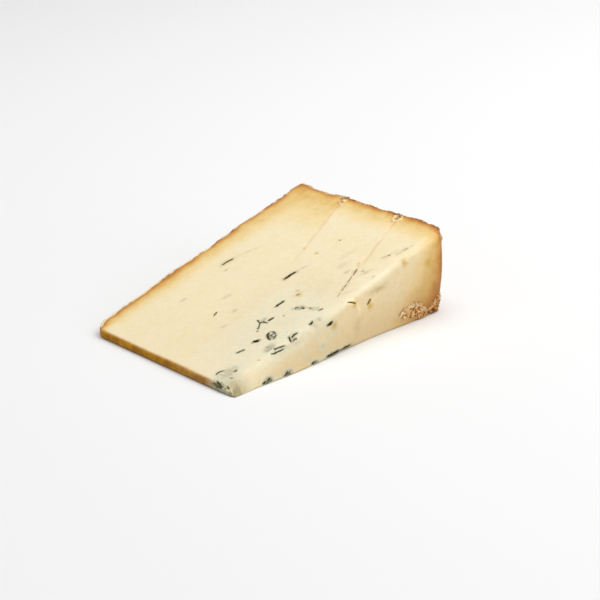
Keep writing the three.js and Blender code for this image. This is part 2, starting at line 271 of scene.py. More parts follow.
# Golden and olive spots: place and size, in the upper cut and in the cut side
TOP_SPOTS = (
    (48.6, 19.8, 2.8), (50.2, 22.0, 1.6), (70.8, 12.5, 1.2),
    (72.0, 13.6, 1.2), (70.0, 40.5, 1.3), (69.8, 33.4, 1.3),
)
SIDE_SPOTS = (
    (81.1, 24.0, 2.6), (92.8, 20.8, 2.6), (46.9, 11.0, 3.0), (64.0, 12.6, 2.4), (56.4, 16.2, 2.4),
)

# Streaks on the sunken corner fan out from this point of the plan
FAN_X, FAN_Y, FAN_REACH = 11, 9, 8.5

# Heights of the fine relief that is laid on the finished mesh
CRAG_HEIGHT, FAN_HEIGHT, RIDGE_ROUGHNESS = 0.3, 0.34, 0.1
CRUST_SWELL, CRUST_FOLD_HEIGHT, CRUST_CRAG_DEPTH = 0.2, 0.45, 0.26
NICK_SWELL, NICK_FOLD_HEIGHT, NICK_GRIT_HEIGHT = 0.1, 0.36, 0.14

# Loose bits: how many along each rind edge and in each nick, and how far apart on the crust
EDGE_FLAKES, NICK_CRUMBS = 150, 70
CRUST_PITCH_X, CRUST_PITCH_Z, CRUST_JITTER = 0.3, 0.34, 0.3
LUMP_SEEDS = range(101, 107)
SCATTER_SEED = 7
LOWEST_BIT = 0.02
# Their lengths and thicknesses, as shares of their size
CRUST_CRUMB_FORM = ((1.2, 3.0), (0.45, 0.75))
RIND_FLAKE_FORM = ((0.8, 1.6), (0.12, 0.3))
PASTE_CRUMB_FORM = ((1.0, 2.6), (0.35, 0.6))

# Colours as they look on a screen, by place on a scale from 0 to 1
PASTE_COLOURS = (
    (0.00, (250, 235, 199)),
    (0.17, (249, 230, 186)),
    (0.34, (247, 222, 166)),
    (0.49, (239, 211, 147)),
    (0.63, (234, 197, 121)),
    (0.75, (222, 172, 93)),
    (0.85, (209, 150, 71)),
    (0.92, (200, 139, 61)),
    (1.00, (182, 120, 47)),
)
RIND_COLOURS = (
    (0.22, (112, 76, 40)),
    (0.38, (148, 106, 60)),
    (0.54, (176, 136, 86)),
    (0.78, (212, 182, 136)),
)
# Ramps for the crust, rind chips and crumbs: their dark ends are partly painted shade, in creases and on
# undersides, and their pale ends partly painted highlight on what stands out
CRUST_COLOURS = (
    (0.18, (104, 52, 12)),
    (0.36, (170, 108, 48)),
    (0.52, (226, 178, 112)),
    (0.70, (255, 236, 196)),
)
CHIP_COLOURS = (
    (0.28, (186, 124, 66)),
    (0.45, (222, 168, 104)),
    (0.60, (240, 202, 148)),
    (0.78, (250, 228, 190)),
)
CRUMB_COLOURS = (
    (0.24, (196, 130, 60)),
    (0.40, (228, 172, 98)),
    (0.56, (246, 208, 146)),
    (0.76, (253, 234, 190)),
)
UNDER_RIND_COLOUR = (160, 99, 32)
RIND_PATCH_COLOUR = (176, 118, 62)
RIND_POWDER_COLOUR = (216, 200, 170)
# The rind edge's pale bloom, with a painted highlight where the edge faces up
RIM_HIGHLIGHT_COLOUR = (250, 226, 182)
TRACK_COLOUR = (226, 180, 118)
# Painted highlight along the ridge, on paste that is paler there
RIDGE_HIGHLIGHT_COLOUR = (252, 242, 210)
STREAK_COLOUR = (150, 128, 74)
STAIN_COLOUR = (176, 108, 42)
SPOT_COLOUR = (206, 166, 40)
# Painted shade on the nose face, in the amber of light that passes through its thin edge
NOSE_SHADE_COLOUR = (166, 108, 8)
NOSE_PALER_SHADE_COLOUR = (212, 152, 18)
LIGHT_HAZE_COLOUR = (206, 220, 206)
HAZE_COLOUR = (182, 182, 158)
BROWN_HAZE_COLOUR = (182, 156, 102)
GROWTH_COLOUR = (62, 56, 18)
LIGHT_GROWTH_COLOUR = (100, 94, 48)
BROWN_GROWTH_COLOUR = (150, 122, 60)
# Dark shade, light shade and patches of each lining
LINING_COLOURS = {
    "mould": ((58, 52, 20), (120, 108, 58), (92, 92, 58)),
    "olive": ((134, 112, 56), (206, 180, 120), (160, 142, 92)),
    "amber": ((118, 90, 30), (214, 170, 84), (172, 132, 56)),
}

# What the colours are multiplied by: for red, green and blue
SHADE_TINT = (1, 0.985, 0.96)
MOTTLE_TINT = (0.975, 0.96, 0.93)
GRAIN_TINT = (0.985, 0.972, 0.945)
FLECK_TINT = (0.93, 0.86, 0.72)
FLANK_TINT = (0.995, 0.962, 0.89)
BLUSH_TINT = (0.98, 0.92, 0.84)
# Painted shade low on the cut side, near the board
FOOT_SHADE_TINT = (0.84, 0.80, 0.74)
# Painted shade on the sunken corner where the nose meets the cut side, with its olive cast
CORNER_SHADE_TINT = (0.54, 0.52, 0.40)

# The floor's colour, and half its width in metres
FLOOR_COLOUR = (0.86, 0.86, 0.86)
FLOOR_HALF = 3.0

# How far behind the rind the paste is fully amber
RIPE_START = 1.4
# How far the amber reaches behind the curved rind, the same beyond the first needle row, and behind
# the flat rind, and how ripe the paste is next to each rind
CURVED_RIPE_WIDTH, BEYOND_ROW_RIPE_WIDTH, FLAT_RIPE_WIDTH = 11.5, 26, 8.5
CURVED_RIPE_SHARE, FLAT_RIPE_SHARE = 0.84, 0.90
# What is added right behind the rind, and how soon it fades
QUICK_RIPE_SHARE, QUICK_RIPE_REACH = 0.22, 1.0

# How far light spreads in paste and in crumbs, and its share for red, green and blue
LIGHT_SPREAD = 0.9
CRUMB_LIGHT_SPREAD = 0.8
LIGHT_SPREAD_BY_COLOUR = (1.0, 0.85, 0.65)

# Softboxes: name, azimuth, elevation, distance and size in metres, watts
LIGHTS = (
    ("key", -25, 52, 1.4, 1.2, 11.4),
    ("low", -75, 25, 1.4, 1.1, 3.2),
    ("above", 60, 82, 1.4, 1.2, 9.6),
)
WORLD_STRENGTH = 0.25

# Mesh steps of the slice along X, Y and Z, those in each soft edge, and the base's rim and pitch
STEPS = (190, 144, 40)
EDGE_STEPS = 4
BASE_RIM = 6
BASE_STEP = 6
# Sides of a trench, the distance between its rings, and the first one's seed
GOUGE_SIDES = 10
GOUGE_PITCH = 0.22
GOUGE_SEED = 200

# The camera's place in the slice's axes, and its right, up and back
CAMERA_PLACE = Vector((-331.597, -421.989, 250.0))
CAMERA_RIGHT = Vector((0.7458982, -0.66478881, -0.04113055))
CAMERA_UP = Vector((0.27818067, 0.2548223, 0.92611075))
CAMERA_BACK = Vector((-0.60518708, -0.70222606, 0.37500289))
CAMERA_LENS, CAMERA_SENSOR = 108.285, 36


# --- Shape of the slice ---------------------------------------------------------------------------


def smooth(value, low, high):
    t = np.clip((value - low) / (high - low), 0, 1)
    return t * t * (3 - 2 * t)


def lerp(a, b, t):
    return a + (b - a) * t


def lattice(i, j, k, seed):
    """A repeatable number from -1 to 1 for each corner of a cubic lattice."""
    s = np.sin(i * 127.1 + j * 311.7 + k * 74.7 + seed * 53.3) * 43758.5453
    return 2 * (s - np.floor(s)) - 1


def bumps(points, size, seed):
    """Smooth bumps from -1 to 1, about one to each length of size."""
    scaled = points / size
    cell = np.floor(scaled)
    t = smooth(scaled - cell, 0, 1)
    total = 0
    for corner in itertools.product((0, 1), repeat=3):
        weight = np.prod(np.where(corner, t, 1 - t), axis=1)
        total = total + weight * lattice(*(cell + corner).T, seed)
    return total


def relief(layers, points):
    return sum(height * bumps(points, size, seed) for height, size, seed in layers)


def rind_relief(points):
    """The rind's bumps, lower next to the sawn corner."""
    from_corner = np.hypot(points[:, 0] - LENGTH, points[:, 1])
    calm = CORNER_CALM * np.exp(-((from_corner / CORNER_CALM_REACH) ** 2))
    return relief(RIND_BUMPS, points) * (1 - calm)


def cut_height(x):
    """The height of the upper cut above the board."""
    return (x + NOSE_TRIM) * SLOPE


def grid_line(n, steps, length):
    """Places of grid lines on a length, with finer steps in the soft edge at each end."""
    edge = np.minimum(EDGE_RADIUS, length / 3)
    near = edge * n / EDGE_STEPS
    far = length - edge * (steps - n) / EDGE_STEPS
    middle = edge + (length - 2 * edge) * (n - EDGE_STEPS) / (steps - 2 * EDGE_STEPS)
    return np.where(n < EDGE_STEPS, near, np.where(n > steps - EDGE_STEPS, far, middle))


def round_off(a, b, radius, on_edge):
    """How far points move in behind two faces, to round their edge.

    a and b are depths behind the faces, and on_edge is 1 on the edge's own small rounding.
    """
    da, db = radius - a, radius - b
    kept = lerp(np.maximum(da, db), radius, on_edge)
    pull = np.where(np.minimum(da, db) > 0, 1 - kept / np.maximum(np.hypot(da, db), 1e-9), 0)
    return pull * da, pull * db


def wear(p, normal):
    """Wears the upright corners round, softens the ridge and lets the corner of the nose sink."""
    height = cut_height(p[:, 0])
    upright, lengthwise = 1 - normal[:, 2] ** 2, 1 - normal[:, 0] ** 2
    for corner_x, corner_y, radius in CORNERS:
        depths = abs(corner_x - p[:, 0]), abs(corner_y - p[:, 1])
        dx, dy = round_off(*depths, radius, upright)
        p[:, 0] += -dx if corner_x else dx
        p[:, 1] += -dy if corner_y else dy
    p[:, 2] *= cut_height(p[:, 0]) / height

    top = cut_height(p[:, 0])
    crisp = smooth(p[:, 0], RIDGE_SOFT_UNTIL, RIDGE_CRISP_FROM)
    end = smooth(p[:, 0], RIDGE_CRISP_UNTIL, LENGTH)
    radius = lerp(RIDGE_SOFT_RADIUS, lerp(RIDGE_CRISP_RADIUS, RIDGE_END_RADIUS, end), crisp)
    radius = np.minimum(radius, top)
    dy, dz = round_off(p[:, 1], top - p[:, 2], radius, lengthwise)
    p[:, 1] += dy
    p[:, 2] -= dz
    p[:, 2] *= 1 - SLUMP_SHARE * np.exp(-(p[:, 0] ** 2 + p[:, 1] ** 2) / SLUMP_REACH**2)


def side_stands_out(x, share):
    """How far the cut side stands out, by distance from the nose and share of its height."""
    wave = FOOT_WAVE * np.sin((x - FOOT_WAVE_FROM) / FOOT_WAVE_REACH)
    foot = lerp(FOOT_SPREAD, -FOOT_TUCK, smooth(x, 0, LENGTH)) + wave
    return foot * (1 - share) ** 2


def lip_stands_out(x, z):
    """The broken step on the cut side: full height left of the lip, gone a short run from it."""
    past = LIP_X - LIP_CURVE * (z - LIP_Z) ** 2 - x
    step = smooth(past, -LIP_WIDTH / 2, LIP_WIDTH / 2)
    return LIP_HEIGHT * step * np.exp(-np.maximum(past, 0) / LIP_RUN) * smooth(z, LIP_LOW, LIP_FULL)


def rind_stands_out(y, share):
    """How far the curved rind stands out, by distance from the cut side and share of its height."""
    belly = RIND_BELLY * np.sin(np.pi * share) - RIND_TUCK * (1 - share) ** 2
    turn = (y - NEEDLE_ROWS[0] + RIND_SWELL_SHIFT) / (NEEDLE_ROWS[0] - NEEDLE_ROWS[1])
    return belly + RIND_WAVE * np.cos(2 * np.pi * turn)


def slice_points(sharp):
    """Points of the slice's surface, from the points of the sharp-edged slice they come from."""
    height = cut_height(sharp[:, 0])
    radius = np.minimum(EDGE_RADIUS, height / 3)
    reach = np.stack([np.full_like(height, LENGTH), np.full_like(height, SLICE_DEPTH), height], 1)
    inner = np.clip(sharp, radius[:, None], reach - radius[:, None])
    normal = sharp - inner
    normal /= np.linalg.norm(normal, axis=1, keepdims=True)
    p = inner + normal * radius[:, None]
    wear(p, normal)

    x, y, z = p.T
    share = np.clip(z / cut_height(x), 0, 1)
    near_side = np.maximum(0, 1 - y / FADE_DEPTH) ** 2
    near_rind = np.maximum(0, 1 - (LENGTH - x) / FADE_DEPTH) ** 2
    faces_side = np.maximum(-normal[:, 1], 0)
    bend_x = near_rind * rind_stands_out(y, share)
    bend_y = -near_side * (side_stands_out(x, share) + faces_side * lip_stands_out(x, z))
    faces_rind = np.maximum(normal[:, 0], 0) + np.maximum(normal[:, 1], 0)
    out = faces_rind * rind_relief(p)
    out = out + (np.maximum(normal[:, 2], 0) + faces_side) * relief(PASTE_BUMPS, p)
    p = p + normal * (smooth(z, 0, FLAT_FOOT) * out)[:, None]
    p[:, 2] = np.maximum(p[:, 2], 0)
    p[:, 0] += bend_x
    p[:, 1] += bend_y
    return p


def top_point(x, y):
    return Vector(slice_points(np.array([[x, y, cut_height(x)]], float))[0])


def side_point(x, z):
    return Vector(slice_points(np.array([[x, 0, z]], float))[0])


def slice_grid():
    """Vertices and faces of the slice: its six faces as fine grids, but for the base's middle."""
    steps = np.array(STEPS)
    index = np.indices(steps + 1)
    on_skin = np.any((index == 0) | (index == steps[:, None, None, None]), axis=0)
    base_middle = (index[2] == 0) & np.all(
        (index[:2] > BASE_RIM) & (index[:2] < (steps[:2] - BASE_RIM)[:, None, None, None]), axis=0
    )
    used = on_skin & ~base_middle
    ids = np.full(used.shape, -1)
    ids[used] = np.arange(used.sum())
    i, j, k = (n[used] for n in index)
    x = grid_line(i, STEPS[0], LENGTH)
    y = grid_line(j, STEPS[1], SLICE_DEPTH)
    z = grid_line(k, STEPS[2], cut_height(x))
    vertices = slice_points(np.stack([x, y, z], 1))

    faces = []
    for axis in range(3):
        turned = np.transpose(ids, (axis, (axis + 1) % 3, (axis + 2) % 3))
        for end in (0, -1):
            sheet = turned[end]
            quads = np.stack([sheet[:-1, :-1], sheet[1:, :-1], sheet[1:, 1:], sheet[:-1, 1:]], -1)
            quads = quads.reshape(-1, 4)
            quads = quads[(quads >= 0).all(axis=1)]
            faces.append(quads if end else quads[:, ::-1])
    return vertices, np.concatenate(faces), ids


def base_middle(vertices, ids):
    """The middle of the base: coarse triangles inside the rim that slice_grid leaves."""
    last_x, last_y = STEPS[0] - BASE_RIM, STEPS[1] - BASE_RIM
    rim = [(i, BASE_RIM) for i in range(BASE_RIM, last_x)]
    rim += [(last_x, j) for j in range(BASE_RIM, last_y)]
    rim += [(i, last_y) for i in range(last_x, BASE_RIM, -1)]
    rim += [(BASE_RIM, j) for j in range(last_y, BASE_RIM, -1)]
    rim_ids = [int(ids[i, j, 0]) for i, j in rim]
    flat = [Vector(vertices[n][:2]) for n in rim_ids]
    count = len(flat)
    for i in range(BASE_RIM + BASE_STEP, last_x - 2, BASE_STEP):
        for j in range(BASE_RIM + BASE_STEP, last_y - 2, BASE_STEP):
            x = float(grid_line(i, STEPS[0], LENGTH))
            y = float(grid_line(j, STEPS[1], SLICE_DEPTH))
            flat.append(Vector(slice_points(np.array([[x, y, 0.0]]))[0][:2]))
    made = delaunay_2d_cdt(flat, [], [list(range(count))], 1, 1e-6)
    places, triangles, sources = made[0], made[2], made[3]
    new_ids = []
    added = []
    for place, source in zip(places, sources):
        if source and source[0] < count:
            new_ids.append(rim_ids[source[0]])
        else:
            new_ids.append(len(vertices) + len(added))
            added.append((place.x, place.y, 0.0))
    faces = [[new_ids[n] for n in reversed(triangle)] for triangle in triangles]
    return np.array(added), faces


def slice_object():
    vertices, quads, ids = slice_grid()
    added, triangles = base_middle(vertices, ids)
    mesh = bpy.data.meshes.new("cheese_slice")
    mesh.from_pydata(np.concatenate([vertices, added]).tolist(), [], quads.tolist() + triangles)
    mesh.validate()
    piece = bpy.data.objects.new("cheese_slice", mesh)
    bpy.context.scene.collection.objects.link(piece)
    return piece


# --- Cavities and marks ---------------------------------------------------------------------------


def top_turn(degrees=0.0):
    """Turns X to a direction in the upper cut, with Z along its normal."""
    return Matrix.Rotation(-SLICE_ANGLE, 3, "Y") @ Matrix.Rotation(math.radians(degrees), 3, "Z")


def side_turn(degrees=0.0):
    """Turns X to a direction in the cut side, with Z along its normal."""
    return Matrix.Rotation(math.radians(90), 3, "X") @ Matrix.Rotation(math.radians(degrees), 3, "Z")


def along_row(row, distance):
    """The plan point of a needle row at a distance in from the curved rind."""
    return LENGTH - distance * math.cos(NEEDLE_LEAN), row - distance * math.sin(NEEDLE_LEAN)


def new_object(name, vertices, faces):
    mesh = bpy.data.meshes.new(name)
    mesh.from_pydata(np.asarray(vertices).tolist(), [], [list(face) for face in faces])
    mesh.validate()
    piece = bpy.data.objects.new(name, mesh)
    bpy.context.scene.collection.objects.link(piece)
    return piece


def sampled(points, spacing):
    """Even samples of the line through the points."""
    points = np.array(points, float)
    run = np.concatenate([[0], np.cumsum(np.linalg.norm(np.diff(points, axis=0), axis=1))])
    at = np.linspace(0, run[-1], max(6, round(run[-1] / spacing)))
    return np.stack([np.interp(at, run, axis) for axis in points.T], 1)


def gouge(points, width, depth, normal, seed):
    """A ragged, pointed trench along a line on the surface, as a closed mesh to cut away."""
    line = sampled(points, GOUGE_PITCH)
    along = np.gradient(line, axis=0)
    across = np.cross(along, normal)
    across /= np.linalg.norm(across, axis=1, keepdims=True)
    share = np.linspace(0, 1, len(line))
    taper = np.sqrt(np.sin(np.pi * (0.03 + 0.94 * share)))
    line = line + across * (0.22 * width * bumps(line, 1.1, seed))[:, None]
    rings = []
    for turn in np.linspace(0, 2 * np.pi, GOUGE_SIDES, endpoint=False):
        out = across * (math.cos(turn) * 0.45 * width) + normal * (math.sin(turn) * depth)
        ragged = 1 + 0.35 * bumps(line + out, 0.42, seed + 1) + 0.6 * bumps(line, 1.1, seed + 2)
        rings.append(line + out * (taper * ragged)[:, None])
    vertices = np.stack(rings, 1).reshape(-1, 3)
    faces = []
    for n in range(len(line) - 1):
        for k in range(GOUGE_SIDES):
            a, b = n * GOUGE_SIDES + k, n * GOUGE_SIDES + (k + 1) % GOUGE_SIDES
            faces.append((a, a + GOUGE_SIDES, b + GOUGE_SIDES, b))
    faces.append(range(GOUGE_SIDES))
    faces.append(range(len(vertices) - 1, len(vertices) - GOUGE_SIDES - 1, -1))
    return vertices, faces


def top_line(points):
    return [top_point(x, y) for x, y in points]


def side_line(points):
    return [side_point(x, z) for x, z in points]


def gouges():
    """Every trench to cut: its line, width, depth, surface normal and lining."""
    up, out = np.array(top_turn().col[2]), np.array(side_turn().col[2])
    found = []
    for marks, surface_line, normal, lining in (
        (TOP_MOULD_MARKS, top_line, up, "mould"),
        (TOP_OLIVE_MARKS, top_line, up, "olive"),
        (TOP_AMBER_MARKS, top_line, up, "amber"),
        (SIDE_MOULD_MARKS, side_line, out, "mould"),
        (SIDE_AMBER_MARKS, side_line, out, "amber"),
    ):
        for width, *points in marks:
            found.append((surface_line(points), width, TRENCH_DEPTH[lining] * width, normal, lining))
    for row in NEEDLE_ROWS:
        for start, end, width in (
            (NICK_INSET - NICK_LENGTH / 2, NICK_INSET + NICK_LENGTH / 2, NICK_WIDTH),
            (HOLE_FROM, HOLE_TO, HOLE_WIDTH),
        ):
            line = top_line((along_row(row, start), along_row(row, end)))
            found.append((line, width, NICK_DEPTH, up, "paste"))
    return found


def carve(piece, cutters):
    """Subtracts the cutters from the piece, with their materials, and leaves a plain mesh."""
    group = bpy.data.collections.new("cutters")
    bpy.context.scene.collection.children.link(group)
    for cutter in cutters:
        group.objects.link(cutter)
    cut = piece.modifiers.new("carve", "BOOLEAN")
    cut.operation = "DIFFERENCE"
    cut.operand_type = "COLLECTION"
    cut.collection = group
    cut.solver = "MANIFOLD"
    cut.material_mode = "TRANSFER"
    evaluated = piece.evaluated_get(bpy.context.evaluated_depsgraph_get())
    result = bpy.data.meshes.new_from_object(evaluated)
    piece.modifiers.clear()
    piece.data = result
    result.name = piece.name
    for cutter in cutters:
        bpy.data.objects.remove(cutter)
    bpy.data.collections.remove(group)


# --- Masks ----------------------------------------------------------------------------------------


def behind_worn_corner(depth, across, radius):
    """Depth behind a rind face, where its corner with a cut face at that distance is worn round."""
    da, db = radius - depth, radius - across
    worn = np.minimum(da, db) > 0
    outline = radius - np.hypot(da, db)
    lean = np.where(worn, db / np.maximum(da + db, 1e-9), 0)
    return np.where(worn, outline + 0.7 * radius * smooth(lean, 0.45, 1), depth)


def rind_depths(p):
    """How far points lie behind the curved rind and behind the flat rind."""
    x, y, z = p.T
    share = np.clip(z / cut_height(x), 0, 1)
    stand = smooth(z, 0, FLAT_FOOT)
    on_curved = np.stack([np.full_like(x, LENGTH), y, z], 1)
    on_flat = np.stack([x, np.full_like(y, SLICE_DEPTH), z], 1)
    curved = LENGTH + rind_stands_out(y, share) + stand * rind_relief(on_curved) - x
    flat = SLICE_DEPTH + stand * rind_relief(on_flat) - y
    curved = behind_worn_corner(curved, y, RIND_SIDE_CORNER[2])
    flat = behind_worn_corner(flat, x, NOSE_RIND_CORNER[2])
    return curved, flat


def nearest_rind(curved, flat):
    radius = RIND_RIND_CORNER[2]
    da, db = radius - curved, radius - flat
    return np.where(np.minimum(da, db) > 0, radius - np.hypot(da, db), np.minimum(curved, flat))


def row_line(x, row):
    return row - (LENGTH - x) * math.tan(NEEDLE_LEAN)


def amber(depth, width, share):
    """Ripeness by depth behind a rind: a quick fall next to it, then a slow one over the width."""
    behind = np.maximum(depth - RIPE_START, 0)
    quick = QUICK_RIPE_SHARE * np.exp(-behind / QUICK_RIPE_REACH)
    return share * np.maximum(1 - behind / width, 0) + quick


def ripeness(p, curved, flat):
    """How far the paste has turned amber: 1 next to the rind, 0 in the pale middle."""
    x, y, z = p.T
    below = cut_height(x) - z
    beyond = smooth(y - row_line(x, NEEDLE_ROWS[0]), -1.5, 1.5)
    curved_width = lerp(CURVED_RIPE_WIDTH, BEYOND_ROW_RIPE_WIDTH, beyond)
    curved_width += 8 * smooth(below, 0, 8) + 14 * smooth(below, 6, 24)
    curved_share = CURVED_RIPE_SHARE + 0.05 * smooth(25 - y, 0, 10) + 0.13 * smooth(below, 0, 9)
    flat_width = FLAT_RIPE_WIDTH + 2 * smooth(x, 14, 30) + 8 * smooth(x, 55, 88)
    flat_share = FLAT_RIPE_SHARE - 0.10 * smooth(x, 50, 80)
    thick = 0.7 * np.exp(-(((x - 33) / 11) ** 2)) + 0.35 * bumps(p, 4.5, 61)
    on_curved = amber(curved, curved_width, curved_share)
    return (on_curved**4 + amber(flat - thick, flat_width, flat_share) ** 4) ** 0.25


def into(p, place, turn):
    """Points in the axes of something turned and placed on the slice."""
    return (p - np.array(place)) @ np.array(turn)


def line_distance(p, line):
    """Distance from points to the nearest part of a line."""
    nearest = np.full(len(p), 1e9)
    for a, b in zip(line[:-1], line[1:]):
        a, b = np.array(a), np.array(b)
        t = np.clip((p - a) @ (b - a) / max((b - a) @ (b - a), 1e-9), 0, 1)
        nearest = np.minimum(nearest, np.linalg.norm(p - a - t[:, None] * (b - a), axis=1))
    return nearest


def bloom_masks(p):
    """Mould near the surface, from the patches and a halo round each mouldy mark."""
    total = np.zeros(len(p))
    patches = []
    for x, y, length, width, turn, power in TOP_BLOOM:
        patches.append((top_point(x, y), top_turn(turn), length, width, power))
    for x, z, length, width, turn, power in SIDE_BLOOM:
        patches.append((side_point(x, z), side_turn(turn), length, width, power))
    for place, turn, length, width, power in patches:
        local = into(p, place, turn)
        spread = (local[:, 0] / (length / 2)) ** 2 + (local[:, 1] / (width / 2)) ** 2
        spread += (local[:, 2] / BLOOM_REACH) ** 2
        total = np.maximum(total, power * np.exp(-0.9 * spread))
    lines = [(top_line(points), width) for width, *points in TOP_MOULD_MARKS]
    lines += [(side_line(points), width) for width, *points in SIDE_MOULD_MARKS]
    for line, width in lines:
        distance = line_distance(p, line)
        halo = np.exp(-((distance / (0.7 * width + 0.8)) ** 2))
        fringe = np.exp(-((distance / (0.5 * width + 0.36)) ** 2))
        total = np.maximum(total, np.maximum(0.5 * halo, 1.15 * fringe))
    return total


def track_parts(p):
    """For each needle track in the upper cut: distance across it and along it from the rind."""
    x, y, z = p.T
    on_top = cut_height(x) - z < 2
    for row in NEEDLE_ROWS:
        across = (y - row_line(x, row)) * math.cos(NEEDLE_LEAN) + 0.35 * bumps(p, 7, 71)
        yield np.where(on_top, across, np.inf), (LENGTH - x) / math.cos(NEEDLE_LEAN)


def track_mask(p):
    """The needle tracks in the upper cut, broken and fading inwards."""
    total = np.zeros(len(p))
    for across, along in track_parts(p):
        fade = 1 - smooth(along, TRACK_FULL_UNTIL, TRACK_END)
        broken = smooth(relief(TRACK_BREAKS, p), -0.75, 0.35)
        total = np.maximum(total, fade * broken * np.exp(-((across / TRACK_WIDTH) ** 2)))
    return total


def nick_mask(p):
    total = np.zeros(len(p))
    for row in NEEDLE_ROWS:
        local = into(p, top_point(*along_row(row, NICK_INSET)), top_turn(math.degrees(NEEDLE_LEAN)))
        ragged = 0.5 * bumps(p, 1.3, 24)
        reach_x, reach_y = 0.5 * NICK_LENGTH + 1.0, 0.5 * NICK_WIDTH + 0.7
        spread = np.hypot(local[:, 0] / reach_x, local[:, 1] / reach_y) + 0.35 * ragged
        total = np.maximum(total, (1 - smooth(spread, 0.7, 1.1)) * (local[:, 2] > -3))
    return total


def spot_mask(p):
    total = np.zeros(len(p))
    spots = [(top_point(x, y), size) for x, y, size in TOP_SPOTS]
    spots += [(side_point(x, z), size) for x, z, size in SIDE_SPOTS]
    for place, size in spots:
        distance = np.linalg.norm(p - np.array(place), axis=1) * (1 + 0.4 * bumps(p, 0.9, 26))
        total = np.maximum(total, np.exp(-((distance / (0.5 * size)) ** 2)))
    return total


def crust_top(x):
    return np.interp(x, *zip(*CRUST_UPPER), left=0)


def crust_mask(p):
    """The crust smeared over the foot of the cut side, with a ragged outline."""
    x, y, z = p.T
    ragged = relief(CRUST_OUTLINE, p)
    inside = smooth(crust_top(x) + ragged - z, -0.2, 0.2)
    inside *= smooth(z - np.interp(x, *zip(*CRUST_LOWER)) + ragged, -0.2, 0.4)
    inside *= smooth(x + ragged, CRUST_UPPER[0][0] - 0.3, CRUST_UPPER[0][0] + 0.5)
    return inside * smooth(4.5 - y, 0, 2)


def stain_mask(p):
    """Paste stained brown by the crust below it."""
    x, y, z = p.T
    reach = lerp(1.2, 5.5, smooth(x, 80, 97))
    above = np.maximum(z - crust_top(x), 0)
    fade = np.minimum(np.exp(-above / reach) + 0.4 * np.exp(-above / 0.6), 1)
    return smooth(x, 78, 97) * fade * smooth(5 - y, 0, 3)


def rim_highlight_mask(p, facing, curved, flat):
    """Where the rind's edge is pale, from its bloom and a painted highlight on what faces up: along the
    upper cut, most near the nose, and up the corner.
    """
    x, y, _ = p.T
    up = smooth(facing[:, 2], 0.62, 0.8)
    along_flat = up * lerp(1, 0.5, smooth(x, 55, 80)) * (flat < 3)
    along_back = up * 0.55 * smooth(y, 30, 60) * (curved < 3)
    up_corner = 0.5 * smooth(-facing[:, 1], 0.62, 0.8) * (curved < 3)
    broken = smooth(relief(RIM_BREAKS, p), -0.7, 0.2)
    return np.maximum(np.maximum(along_flat, along_back), up_corner) * broken


def fan_mask(p):
    """The sunken corner, where the paste is drawn into streaks."""
    x, y, _ = p.T
    return 1 - smooth(np.hypot(x, y + 0.5), 0.35 * FAN_REACH, FAN_REACH)


def fan_streaks(p):
    """Bumps drawn out towards the fan's middle, from -1 to 1."""
    angle = np.arctan2(p[:, 1] - FAN_Y, p[:, 0] - FAN_X)
    around = angle * 10 + 0.8 * bumps(p, 2.4, 33)
    drawn = np.stack([around, np.hypot(p[:, 0], p[:, 1]) * 0.22, np.zeros(len(p))], 1)
    return relief(FAN_BUMPS, drawn)


def ridge_highlight_mask(p):
    """Painted highlight on the edge between the two cuts, where the paste is also paler: a line towards the
    rind, and a wide band on the top.
    """
    x, y, z = p.T
    below = cut_height(x) - z
    line = smooth(x, 36, 52) * (1 - smooth(x, 72, 88))
    line *= np.exp(-((np.hypot(y - 0.6, below - 0.5) / 1.25) ** 2))
    line *= 0.8 + relief(RIDGE_BREAKS, p)
    wide_highlight = 0.4 * np.exp(-((y / 7) ** 2)) * smooth(2 - below, 0, 2) * smooth(88 - x, 0, 20)
    return np.clip(np.maximum(line, wide_highlight), 0, 1)


def crust_lightness(x, z):
    """How much lighter the crust is than on average: most at its thin end and its upper edge."""
    along = lerp(0.12, -0.1, smooth(x, 80, 98))
    up = lerp(-0.16, 0.08, smooth(z - crust_top(x), -2.2, -0.6))
    return along + up


def crust_folds(p):
    """Crumbled strands of crust, from -1 to 1."""
    strands = 1 - 2 * abs(relief(CRUST_STRANDS, p))
    return np.clip(0.7 * strands + 0.5 * bumps(p, 0.45, 47), -1, 1)


def nick_folds(p):
    """Torn strands of paste that run with the needle rows, from -1 to 1."""
    along = p[:, 0] * math.cos(NEEDLE_LEAN) + p[:, 1] * math.sin(NEEDLE_LEAN)
    across = p[:, 1] * math.cos(NEEDLE_LEAN) - p[:, 0] * math.sin(NEEDLE_LEAN)
    drawn = np.stack([along / 2, across + 0.4 * bumps(p, 1.5, 49), p[:, 2] / 2], 1)
    strands = 1 - 2 * abs(relief(NICK_STRANDS, drawn))
    return np.clip(0.8 * strands + 0.4 * bumps(p, 0.6, 60), -1, 1)


def crags(p):
    """Wrinkled rind, from -1 to 1: low plates with creases between them, and grit."""
    plates = smooth(abs(relief(CREASES, p)), 0, 0.5)
    return np.clip(1.2 * plates - 0.75 + 0.5 * relief(RIND_GRIT, p), -1, 1)


# --- Fine relief and attributes -------------------------------------------------------------------


def coordinates(mesh):
    flat = np.empty(len(mesh.vertices) * 3)
    mesh.vertices.foreach_get("co", flat)
    return flat.reshape(-1, 3)


def vertex_normals(mesh):
    flat = np.empty(len(mesh.vertices) * 3)
    mesh.vertex_normals.foreach_get("vector", flat)
    return flat.reshape(-1, 3)


